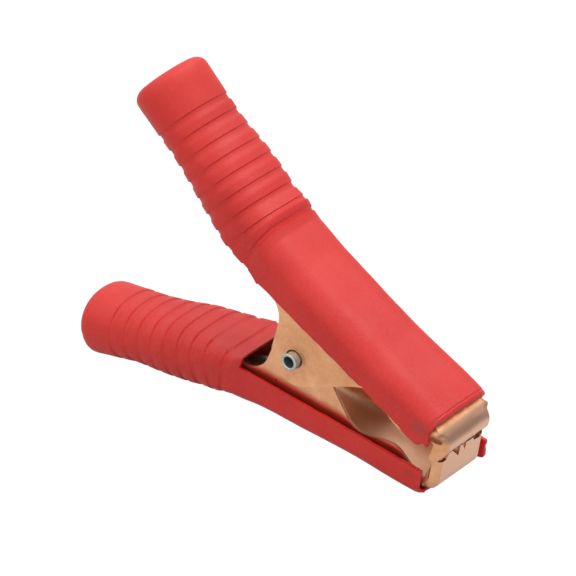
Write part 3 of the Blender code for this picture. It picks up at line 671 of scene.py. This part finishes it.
def build_jaw(name, half_w, side, teeth, notch, materials):
    """Sheet with pivot hole, teeth and notches; bevelled edges take the second material."""
    ob = mesh_object(name, jaw_surface(half_w, side))
    sheet = ob.modifiers.new("sheet", "SOLIDIFY")
    sheet.thickness = SHEET * MM
    sheet.offset = -1
    sheet.use_even_offset = True
    cutters = [hole_cutter(name + "_hole", HOLE_R), tooth_cutter(name + "_teeth", teeth, side)]
    cutters += notch_cutters(name, notch)
    for i, cutter in enumerate(cutters):
        cut = ob.modifiers.new("cut%d" % i, "BOOLEAN")
        cut.operation = "DIFFERENCE"
        cut.solver = "EXACT"
        cut.object = cutter
        cut.use_self = True
    bevel = ob.modifiers.new("edges", "BEVEL")
    bevel.width = 0.16 * MM
    bevel.segments = 2
    bevel.limit_method = "ANGLE"
    bevel.angle_limit = math.radians(48)
    bevel.use_clamp_overlap = True
    for material in materials:
        ob.data.materials.append(material)
    bevel.material = 1
    bake_modifiers(ob)
    for cutter in cutters:
        bpy.data.objects.remove(cutter)
    shade(ob, angle=30)
    return ob


# ---------------------------------------------------------------- boot sections
def through(u, knots):
    """Softly stepped interpolation of a (distance, value) table."""
    if u <= knots[0][0]:
        return knots[0][1]
    for (u0, v0), (u1, v1) in zip(knots, knots[1:]):
        if u <= u1:
            t = (u - u0) / (u1 - u0)
            return mix(v0, v1, mix(t, smooth(t), 0.5))
    return knots[-1][1]


# centre and out are (x, z); the roof half rises by height along out, the belly half goes
# down by depth; oval eases the rounded box to a superellipse of the given squareness
Station = namedtuple("Station", "centre out half_w height depth roof_r belly_r oval squareness")


def boot_station(t, shape):
    """Section t mm behind the front edge."""
    if t <= RUN:
        x = BOOT_FRONT_X - t
        z = mix(LIP_FRONT_Z, LIP_MOUTH_Z, t / RUN)
        top = web_z(x) + GAP + BOOT_TOP_WALL
        top += (shape.swell[0] + shape.swell[1] * smooth((-4.0 - x) / 14.0)
                + shape.swell[2] * smooth((x - 32.0) / 28.0))
        corner = [mix(p, q, smooth(t / 30.0)) for p, q in zip(*shape.corners)]
        return Station(Vector((x, z)), Vector((0, 1)), BOOT_HALF_W, top - z,
                       LIP_MOUTH_Z - shape.mouth_z, corner, (shape.mouth_r,) * 2,
                       0.0, CHANNEL_SQUARENESS)
    u = t - RUN
    along, normal = Vector(GRIP_DIR), Vector(GRIP_NORMAL)
    # the mouth section carried on, easing into the grip's own section
    settled = smooth(u / 16.0)
    axis = Vector(GRIP_O) + along * u
    mouth_top = Vector((MOUTH_X, web_z(MOUTH_X) + GAP + BOOT_TOP_WALL)) + along * u
    mouth_low = Vector((MOUTH_X, shape.mouth_z)) + along * u
    outer = mouth_top.lerp(axis + normal * through(u, GRIP_OUTER), settled)
    inner = mouth_low.lerp(axis - normal * through(u, GRIP_INNER), settled)
    out = Vector((0, 1)).lerp(normal, settled).normalized()
    outer += out * (shape.swell[0] + shape.swell[1]) * (1 - smooth((u - 9.0) / 10.0))
    inner += normal * shape.dip * smooth(u / 5.0) * (1 - smooth((u - 10.0) / 22.0))
    mid = mix((LIP_MOUTH_Z - shape.mouth_z) / (mouth_top - mouth_low).length, 0.5,
              smooth(u / 30.0))
    span = (outer - inner).length
    oval = smooth(u / 24.0)
    return Station(inner.lerp(outer, mid), (outer - inner).normalized(),
                   through(u, GRIP_HALF_W), span * (1 - mid), span * mid,
                   [mix(r, TUBE_CORNER_R, oval) for r in shape.corners[1]],
                   (mix(shape.mouth_r, TUBE_CORNER_R, oval),) * 2,
                   oval, through(u, GRIP_SQUARENESS))


def rounded(half_w, height, radii, oval, squareness):
    """Half a box with elliptical corners, from (-half_w, 0) over the top, eased to an oval."""
    corner_w, corner_h = min(radii[0], 0.97 * half_w), min(radii[1], 0.97 * height)
    side, arc = COLS // 8, COLS // 4
    near = [(-half_w, (height - corner_h) * i / side) for i in range(side)]
    for i in range(arc + 1):
        a = math.radians(90) * i / arc
        near.append((-half_w + corner_w * (1 - math.cos(a)),
                     height - corner_h + corner_h * math.sin(a)))
    flat = COLS // 2 - side - arc
    for i in range(1, flat):
        near.append(((-half_w + corner_w) * (1 - i / flat), height))
    points = []
    for i, (y, h) in enumerate(near + [(0.0, height)] + [(-y, h) for y, h in reversed(near)]):
        a = math.pi * (1 - i / COLS)
        c, s = math.cos(a), math.sin(a)
        oval_y = half_w * math.copysign(abs(c) ** (2 / squareness), c)
        oval_h = height * abs(s) ** (2 / squareness)
        points.append((mix(y, oval_y, oval), mix(h, oval_h, oval)))
    return points


def groove_depth(u):
    """Depth of the grip grooves u mm behind the mouth, 0 to 1."""
    for g in GROOVES:
        if g - GROOVE_W < u < g:
            return min(1.0, (u - g + GROOVE_W) / GROOVE_FRONT_RAMP, (g - u) / GROOVE_REAR_RAMP)
    return 0.0


def groove_shift(y, h, half_w, height, depth):
    """How far a groove of relative depth moves a section point in, shallow at the sides."""
    reach = depth * GROOVE_D * mix(0.25, 1.0, smooth(abs(h) / height * 1.6))
    away = Vector((y / half_w, h / height))
    away = Vector((away.x ** 3, away.y ** 3)).normalized()
    return away.x * reach, away.y * reach


def channel_stations():
    """mm behind the front edge."""
    return ([0, 0.4, 0.8, 1.05, 1.3, 1.5, 1.7, 1.95, 2.4, 3.2, 4, 5.2]
            + [6.5 + 1.35 * i for i in range(51)] + [76.2, 77.2])


def tube_stations():
    """mm behind the mouth."""
    us = [0.0, 0.6, 1.4, 2.4, 3.4]
    for g in GROOVES:
        us += [g - GROOVE_W, g - GROOVE_W + GROOVE_FRONT_RAMP, g - 1.3, g - GROOVE_REAR_RAMP, g,
               g + 1.1, g + 2.2]
    return us + [62.0, 64.0, 66.0, 68.0]


# ---------------------------------------------------------------- boot mesh
class BootMesh:
    """Outer skin with grooves and parting line, inner skin, and the rims between them.

    near_lip, far_lip: mm the lips hang past their straight line, as functions of x.
    front: mm the front edge reaches forward, as a function of the place round the section
    (0 at the near lip, 1 at the far one)."""

    def __init__(self, side, shape, near_lip, far_lip, front):
        self.side, self.shape = side, shape
        self.near_lip, self.far_lip, self.front = near_lip, far_lip, front
        self.shift = Vector((-shape.slip * math.cos(WEB_SLOPE), 0,
                             shape.slip * math.sin(WEB_SLOPE)))
        self.end_t = RUN + shape.grip_length
        self.bm = bmesh.new()
        self.rim_weight = self.bm.edges.layers.float.new("bevel_weight_edge")
        outer = self.outer_skin()
        inner = self.inner_skin()
        self.rims(outer, inner)
        face_outwards(self.bm)

    def half(self, t, inset, top_inset, part):
        """Centre, out direction and (y, h) points of the roof or belly half."""
        st = boot_station(t, self.shape)
        if part == "roof":
            # the wall is thinner along the long corners
            radii = [max(0.2, r - inset - 0.9 * clamp01(inset)) for r in st.roof_r]
            points = rounded(st.half_w - inset, st.height - top_inset, radii,
                             st.oval, st.squareness)
        else:
            radii = [max(0.2, r - inset) for r in st.belly_r]
            points = [(-y, -h) for y, h in rounded(st.half_w - inset, st.depth - inset, radii,
                                                   st.oval, st.squareness)]
        return st.centre, st.out, points

    def put(self, centre, out, y, h, wobble=0.0):
        """Vertex at (y, h) of a section, pushed off its line by noise."""
        p = centre + out * h
        p = Vector((p.x, y, p.y)) + self.shift
        if wobble:
            push = waver(p.x * 0.045, p.y * 0.05 + self.side * 3, p.z * 0.05) * wobble
            push += waver(p.x * 0.16, p.y * 0.16, p.z * 0.16 + self.side * 5) * wobble * 0.25
            away = Vector((y, h))
            if away.length > 1e-6:
                away.normalize()
                p.y += away.x * push
                p.x += out.x * away.y * push
                p.z += out.y * away.y * push
        return self.bm.verts.new(JAW @ Vector((p.x, p.y, p.z * self.side)))

    def channel_row(self, t, inset, top_inset, wobble):
        base = self.half(t, 0, 0, "roof")[2]
        base_top = base[COLS // 2][1]
        row = []
        for i in range(COLS + 1):
            lean = FRONT_LEAN * base[i][1] * smooth(1 - t / 24.0)
            reach = self.front(i / COLS) * smooth(1 - t / 5.0)
            centre, out, points = self.half(t - reach - lean, inset, top_inset, "roof")
            y, h = points[i]
            x = centre.x + self.shift.x
            # turned-in front rim, with a fine crease behind it on the outer skin
            crease = 0.40 * hump(t, 1.2, 0.35) if inset == 0 else 0.0
            roll = self.shape.roll * smooth(1 - t / 1.9) ** 2
            h -= (roll + crease) * smooth(h / base_top)
            drop = self.near_lip(x) if y < 0 else self.far_lip(x)
            top = points[COLS // 2][1]
            h -= drop * clamp01(1 - h / (top * 0.55)) * smooth((RUN - t) / 6.0)
            row.append(self.put(centre, out, y, h, wobble))
        return row

    def tube_roof(self, t, groove, step):
        """Roof half of the tube, its ends on the boundary and the rest set in by step."""
        ends = self.half(t, 0, 0, "roof")[2]
        half_w = boot_station(t, self.shape).half_w
        centre, out, points = self.half(t, step, step, "roof")
        top = points[COLS // 2][1]
        row = []
        for i in range(COLS + 1):
            if i in (0, COLS):
                row.append(self.put(centre, out, *ends[i], BOOT_WOBBLE))
                continue
            y, h = points[i]
            dy, dh = groove_shift(y, h, half_w, top, groove)
            if i in (1, COLS - 1):
                h = max(h, PARTING_H)
            row.append(self.put(centre, out, y - dy, h - dh, BOOT_WOBBLE))
        return row

    def tube_belly(self, t, groove, roof):
        """Belly half of the tube, closing the roof row."""
        centre, out, points = self.half(t, 0, 0, "belly")
        half_w, depth = boot_station(t, self.shape).half_w, -points[COLS // 2][1]
        row = [roof[-1]]
        for y, h in points[1:-1]:
            dy, dh = groove_shift(y, h, half_w, depth, groove)
            row.append(self.put(centre, out, y - dy, h - dh, BOOT_WOBBLE))
        return row + [roof[0]]

    def end_rows(self, t, inset):
        """Roof and belly rows of the rounded end."""
        def put(y, h):
            return self.put(centre, out, y, h, BOOT_WOBBLE)

        roof = self.half(t, inset + PARTING_STEP, inset + PARTING_STEP, "roof")[2]
        centre, out, ends = self.half(t, inset, inset, "roof")
        row = [put(*ends[0])]
        row += [put(y, max(h, PARTING_H)) for y, h in roof[1:-1]]
        row.append(put(*ends[-1]))
        belly = self.half(t, inset, inset, "belly")[2]
        return row, [row[-1]] + [put(*p) for p in belly[1:-1]] + [row[0]]

    def end_dome(self, rim):
        """Rings inside the rim and the tip of the slightly domed end face."""
        end = boot_station(self.end_t, self.shape).centre
        centre = JAW @ Vector((end.x + self.shift.x, 0, (end.y + self.shift.z) * self.side))
        axis = jaw_direction(GRIP_DIR[0], 0, GRIP_DIR[1] * self.side)
        rings = [rim]
        # (size of the ring against the rim, lift in mm)
        for size, lift in ((0.72, 0.16), (0.44, 0.27), (0.18, 0.33)):
            ring = []
            for v in rim:
                flat = v.co - centre
                flat -= axis * flat.dot(axis)
                base = (v.co - centre).dot(axis)
                ring.append(self.bm.verts.new(centre + flat * size + axis * (base + lift * MM)))
            rings.append(ring)
        tip_off = (rim[0].co - centre).dot(axis) + 0.35 * MM
        return rings, self.bm.verts.new(centre + axis * tip_off)

    def outer_skin(self):
        roof = [self.channel_row(t, 0, 0, BOOT_WOBBLE) for t in channel_stations()]
        belly = []
        for u in tube_stations():
            groove = groove_depth(u)
            roof.append(self.tube_roof(RUN + u, groove, PARTING_STEP * smooth(u / 9.0)))
            belly.append(self.tube_belly(RUN + u, groove, roof[-1]))
        end_r = 4.4
        for degrees in (12, 26, 40, 54, 68, 80):
            a = math.radians(degrees)
            rows = self.end_rows(self.end_t - 0.35 - end_r * (1 - math.sin(a)),
                                 end_r * (1 - math.cos(a)))
            roof.append(rows[0])
            belly.append(rows[1])
        rings, tip = self.end_dome(roof[-1] + belly[-1][1:-1])
        bridge_all(self.bm, roof)
        bridge_all(self.bm, belly)
        bridge_all(self.bm, rings, closed=True)
        fan(self.bm, rings[-1], tip)
        return roof, belly

    def inner_skin(self):
        roof = [self.channel_row(t, BOOT_WALL, BOOT_TOP_WALL, 0.0) for t in channel_stations()]
        belly = []
        for u in (0.0, 2, 5, 10, 16, 24, 34, 48, 60, self.shape.grip_length - 6):
            t = RUN + u
            wall, top_wall = (mix(w, TUBE_WALL, smooth(u / 24.0))
                              for w in (BOOT_WALL, BOOT_TOP_WALL))
            centre, out, points = self.half(t, wall, top_wall, "roof")
            row = [self.put(centre, out, *p) for p in points]
            roof.append(row)
            centre, out, points = self.half(t, wall, top_wall, "belly")
            belly.append([row[-1]] + [self.put(centre, out, *p) for p in points[1:-1]] + [row[0]])
        bridge_all(self.bm, roof)
        bridge_all(self.bm, belly)
        end = boot_station(self.end_t - 5.0, self.shape).centre
        fan(self.bm, roof[-1] + belly[-1][1:-1], self.put(end, Vector((0, 1)), 0, 0))
        return roof, belly

    def rims(self, outer, inner):
        """Front edge, mouth and both lips, marked for the bevel."""
        count = len(channel_stations()) + 1
        pairs = [(outer[0][0], inner[0][0]), (outer[1][0], inner[1][0])]
        for i in (0, -1):
            pairs.append(tuple([row[i] for row in skin[0][:count]] for skin in (outer, inner)))
        for pair in pairs:
            bridge(self.bm, *pair)
            for chain in pair:
                for p, q in zip(chain, chain[1:]):
                    self.bm.edges.get((p, q))[self.rim_weight] = 1.0


def build_boot(name, side, shape, near_lip, far_lip, front, material):
    ob = mesh_object(name, BootMesh(side, shape, near_lip, far_lip, front).bm, material)
    bevel = ob.modifiers.new("rims", "BEVEL")
    bevel.width = 0.38 * MM
    bevel.segments = 3
    bevel.limit_method = "WEIGHT"
    bevel.use_clamp_overlap = True
    bake_modifiers(ob)
    shade(ob, angle=38)
    return ob


# ---------------------------------------------------------------- trimmed boot edges
def upper_near_lip(x):
    """Nearly straight, ragged over the front part."""
    drop = 0.35 * waver(x * 0.35, 1.7, 0.3)
    drop += 0.5 * hump(x, 35.8, 1.6) + 0.45 * hump(x, 39.0, 1.5) - 0.7 * hump(x, 28.6, 1.3)
    if x > 44:
        drop += 0.6 * smooth((x - 44) / 6) + 0.55 * waver(x * 0.9, 4.1, 0.9)
        drop -= 2.6 * smooth((x - 54.8) / 2.4)
    return drop


def upper_far_lip(x):
    return 0.2 * waver(x * 0.3, 0, 5)


def upper_front(s):
    near = smooth(1 - s / 0.16)
    return 0.7 + 3.0 * near + 0.40 * waver(s * 24, 2.0, 8.0) + 0.30 * waver(s * 90, 5.0, 1.0)


def lower_near_lip(x):
    drop = 0.22 * waver(x * 0.25, 9.7, 0.3)
    if x > 54:
        drop += 0.5 * waver(x * 1.1, 2.1, 0.9) * smooth((x - 54) / 3)
    return drop


def lower_far_lip(x):
    return 0.2 * waver(x * 0.3, 3, 5)


def lower_front(s):
    near, far = smooth(1 - s / 0.2), smooth((s - 0.76) / 0.12)
    return (0.3 * near + 5.0 * far + 0.45 * waver(s * 26, 7.0, 3.0)
            + 0.2 * waver(s * 80, 1.0, 1.0))


# ---------------------------------------------------------------- turned pieces and spring
def turned(name, profile, steps, material, dent=0.0):
    """Closed profile of (radius, y) turned about the pivot axis."""
    bm = bmesh.new()
    rows = []
    for i in range(steps):
        a = 2 * math.pi * i / steps
        row = []
        for radius, y in profile:
            r = radius + waver(math.cos(a) * 1.4, math.sin(a) * 1.4, y * 0.7) * dent
            row.append(bm.verts.new(JAW @ Vector((r * math.cos(a), y, r * math.sin(a)))))
        rows.append(row)
    bridge_all(bm, rows + rows[:1], closed=True)
    face_outwards(bm)
    ob = mesh_object(name, bm, material)
    shade(ob, angle=40)
    return ob


def quarter_arc(centre, radius, start):
    """Quarter circle from a start angle in degrees."""
    angles = [math.radians(mix(start, start + 90, i / 5)) for i in range(6)]
    return [(centre[0] + radius * math.cos(a), centre[1] + radius * math.sin(a)) for a in angles]


def mirrored(profile):
    return [(r, -y) for r, y in reversed(profile)]


def build_rivet(material):
    """Thin tube with a rolled rim at both ends."""
    shoulder = RIVET_HALF - RIVET_RIM
    rim = [(3.05, shoulder), (3.2, shoulder + 0.12), (3.25, shoulder + 0.3)]
    rim += quarter_arc((2.85, RIVET_HALF - 0.42), 0.4, start=0)
    rim += quarter_arc((2.50, RIVET_HALF - 0.4), 0.35, start=90)
    tube = [(RIVET_R, -shoulder), (RIVET_R, 0), (RIVET_R, shoulder)]
    profile = tube + rim + [(RIVET_BORE_R, 0)] + mirrored(rim)
    return turned("rivet_tube", profile, 72, material, dent=0.05)


def build_sleeve(material):
    bore_edge = (2.75, SLEEVE_HALF - 0.12)
    end = [(2.83, SLEEVE_HALF), (2.87, SLEEVE_HALF), (2.95, SLEEVE_HALF - 0.14)]
    profile = mirrored([bore_edge]) + [bore_edge] + end + mirrored(end)
    return turned("sleeve_tube", profile, 64, material)


def build_spring(name, material):
    """Coil about the pivot with a straight leg into each grip."""
    wire_r, coil_r, turns, pitch, leg, leg_a = 1.2, 4.7, 5, 2.75, 27.0, 35.0
    wire_sides = 20
    half = turns * pitch / 2
    lower_a, upper_a = math.radians(180 + leg_a), math.radians(180 - leg_a)
    start_a, end_a = lower_a + math.radians(90), upper_a - math.radians(90)
    sweep = 2 * math.pi * (turns - 1) + (start_a - end_a) % (2 * math.pi)
    lower_leg = Vector((math.cos(lower_a), 0, math.sin(lower_a)))
    upper_leg = Vector((math.cos(upper_a), 0, math.sin(upper_a)))
    n = turns * 40
    coil = []
    for i in range(n + 1):
        a = start_a - sweep * i / n
        coil.append(Vector((coil_r * math.cos(a), -half + 2 * half * i / n,
                            coil_r * math.sin(a))))
    leg_places = (0.15, 0.4, 0.7, 0.97, 1)
    path = [coil[0] + lower_leg * leg * k for k in reversed(leg_places)] + coil
    path += [coil[-1] + upper_leg * leg * k for k in leg_places]

    bm = bmesh.new()
    rings = []
    last = len(path) - 1
    for i, point in enumerate(path):
        tangent = (path[min(i + 1, last)] - path[max(i - 1, 0)]).normalized()
        across = tangent.cross(Vector((0, 1, 0))).normalized()
        rise = across.cross(tangent).normalized()
        r = wire_r * (0.82 if i in (0, last) else 1.0)
        ring = []
        for k in range(wire_sides):
            a = 2 * math.pi * k / wire_sides
            ring.append(bm.verts.new(JAW @ (point + (across * math.cos(a) + rise * math.sin(a)) * r)))
        rings.append(ring)
    bridge_all(bm, rings, closed=True)
    bm.faces.new(rings[0])
    bm.faces.new(rings[-1][::-1])
    face_outwards(bm)
    ob = mesh_object(name, bm, material)
    shade(ob, angle=40)
    return ob


# ---------------------------------------------------------------- build
upper_copper = copper_material("upper_copper", light=(1.0, 0.54, 0.29), deep=(0.84, 0.40, 0.19),
                               roughness=(0.36, 0.52))
lower_copper = copper_material("lower_copper", light=(1.0, 0.58, 0.33), deep=(0.86, 0.43, 0.22),
                               roughness=(0.34, 0.48), lip=True)
cut_edge = copper_material("cut_edge", light=(0.50, 0.26, 0.15), deep=(0.36, 0.17, 0.09),
                           roughness=(0.28, 0.40), ring=False)
upper_pvc = pvc_material("upper_pvc", (
    Smudge((60.2, -12.6, 15.0), core=0.5, reach=4.4, amount=0.62, colour=(0.22, 0.060, 0.048)),
    Smudge((54.0, -15.8, 12.0), core=0.5, reach=5.0, amount=0.45, colour=(0.20, 0.07, 0.055)),
))
lower_pvc = pvc_material("lower_pvc", (
    Smudge((57.0, -16.3, -8.0), core=0.5, reach=3.5, amount=0.35, colour=(0.20, 0.02, 0.02)),
))
zinc = steel_material("zinc", light=(0.62, 0.68, 0.64), dark=(0.38, 0.46, 0.44), rough=0.26)
spring_steel = steel_material("spring_wire", light=(0.22, 0.20, 0.19), dark=(0.12, 0.10, 0.09),
                              rough=0.30, scale=300.0)

stand_in(build_jaw("upper_jaw_sheet", UPPER_HALF_W, 1, UPPER_TEETH, UPPER_NOTCH,
                   (upper_copper, cut_edge)), "upper_jaw", "upper_half")
stand_in(build_jaw("lower_jaw_sheet", LOWER_HALF_W, -1, LOWER_TEETH, LOWER_NOTCH,
                   (lower_copper, cut_edge)), "lower_jaw", "lower_half")
stand_in(build_boot("upper_boot_skin", 1, UPPER_BOOT, upper_near_lip, upper_far_lip,
                    upper_front, upper_pvc), "upper_grip_boot", "upper_half")
stand_in(build_boot("lower_boot_skin", -1, LOWER_BOOT, lower_near_lip, lower_far_lip,
                    lower_front, lower_pvc), "lower_grip_boot", "lower_half")
stand_in(build_rivet(zinc), "pivot_rivet", "lower_half")
stand_in(build_sleeve(zinc), "spring_sleeve", "lower_half")
spring = build_spring("spring_wire", spring_steel)
stand_in(spring, "torsion_spring")
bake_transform(spring)


# ---------------------------------------------------------------- floor and world, metres
def floor_material():
    """Matt grey to the lights, nearly pure white to the camera."""
    material, g, bsdf = new_material("floor_white")
    g.feed(bsdf, {"Base Color": (0.50, 0.50, 0.50, 1), "Roughness": 0.9})
    rays = g.node("LightPath").outputs
    glow = g.node("Emission", {"Color": (1, 1, 1, 1), "Strength": 1.05})
    camera_share, glossy_share = 0.97, 0.30
    share = g.math("ADD", g.times(rays["Is Camera Ray"], camera_share),
                   g.times(rays["Is Glossy Ray"], glossy_share))
    mixed = g.node("MixShader", {0: share, 1: bsdf.outputs[0], 2: glow.outputs[0]})
    g.feed(g.tree.nodes["Material Output"], {"Surface": mixed.outputs[0]})
    return material


def studio_world():
    """Large overhead soft box: bright above, dim towards the horizon, white to the camera."""
    world = bpy.data.worlds.new("studio")
    world.use_nodes = True
    g = Shading(world.node_tree)
    height = g.node("SeparateXYZ", {0: g.coords("Generated")}).outputs[2]
    glow = g.step(height, start=0.05, end=0.85, to=(0.34, 1.22))
    rays = g.node("LightPath").outputs
    shine_base, shine_gain = 0.30, 0.92
    shine = g.math("ADD", shine_base, g.times(glow, shine_gain))
    sky = g.tree.nodes["Background"]
    g.feed(sky, {"Color": (1, 1, 1, 1),
                 "Strength": g.tint(glow, shine, mask=rays["Is Glossy Ray"])})
    backdrop = g.node("Background", {"Color": (1, 1, 1, 1), "Strength": 1.0})
    mixed = g.node("MixShader", {0: rays["Is Camera Ray"], 1: sky.outputs[0],
                                 2: backdrop.outputs[0]})
    g.feed(g.tree.nodes["World Output"], {"Surface": mixed.outputs[0]})
    return world


bm = bmesh.new()
bmesh.ops.create_grid(bm, x_segments=1, y_segments=1, size=3.0)
floor = mesh_object("floor", bm)
floor.location = (0, 0, -0.00005)
floor.data.materials.append(floor_material())

scene = bpy.context.scene
scene.world = studio_world()
scene.view_settings.view_transform = "Standard"
scene.view_settings.look = "None"

# ---------------------------------------------------------------- camera and lights, metres
# the camera looks from an azimuth off the side and an elevation above the horizon, in degrees
AZIMUTH, ELEVATION, ROLL = 37.988, 29.153, -0.12
DISTANCE = 1.5
AIM_LEFT, AIM_UP = 0.010946, 0.0188   # aim point from the pivot
PITCH_REF = math.radians(19.4227)     # jaw pitch at which the view is level
LIGHT_AIM = Vector((0, 0, 0.04))

azimuth, elevation = math.radians(AZIMUTH), math.radians(ELEVATION)
UP = Vector((0, 0, 1))
right = Vector((math.cos(azimuth), math.sin(azimuth), 0))
ahead = Vector((-math.sin(azimuth), math.cos(azimuth), 0))
view = ahead * math.cos(elevation) - UP * math.sin(elevation)
view_up = ahead * math.sin(elevation) + UP * math.cos(elevation)
place = Matrix.Translation(-right * AIM_LEFT + view_up * AIM_UP - view * DISTANCE) @ Matrix((
    (right.x, view_up.x, -view.x, 0),
    (right.y, view_up.y, -view.y, 0),
    (right.z, view_up.z, -view.z, 0),
    (0, 0, 0, 1)))
cam_data = bpy.data.cameras.new("camera")
cam_data.sensor_width = 36.0
cam_data.lens = 270.84
cam_data.clip_start = 0.05
cam_data.clip_end = 20.0
cam = bpy.data.objects.new("camera", cam_data)
scene.collection.objects.link(cam)
cam.matrix_world = (Matrix.Translation(PIVOT) @ Matrix.Rotation(PITCH - PITCH_REF, 4, "Y")
                    @ place @ Matrix.Rotation(math.radians(ROLL), 4, "Z"))
scene.camera = cam


def soft_box(name, offset, size, power):
    """Area light at an offset from the aim point, facing it."""
    light = bpy.data.lights.new(name, "AREA")
    light.shape = "RECTANGLE"
    light.size, light.size_y = size
    light.energy = power
    ob = bpy.data.objects.new(name, light)
    scene.collection.objects.link(ob)
    ob.location = LIGHT_AIM + offset
    ob.rotation_euler = (LIGHT_AIM + offset - LIGHT_AIM).to_track_quat("Z", "Y").to_euler()


soft_box("key", offset=right * 0.45 + UP * 1.1 + ahead * 0.25, size=(0.8, 0.8), power=4.0)
soft_box("fill", offset=-right * 0.9 + UP * 0.5 - ahead * 0.5, size=(0.8, 0.6), power=0.8)
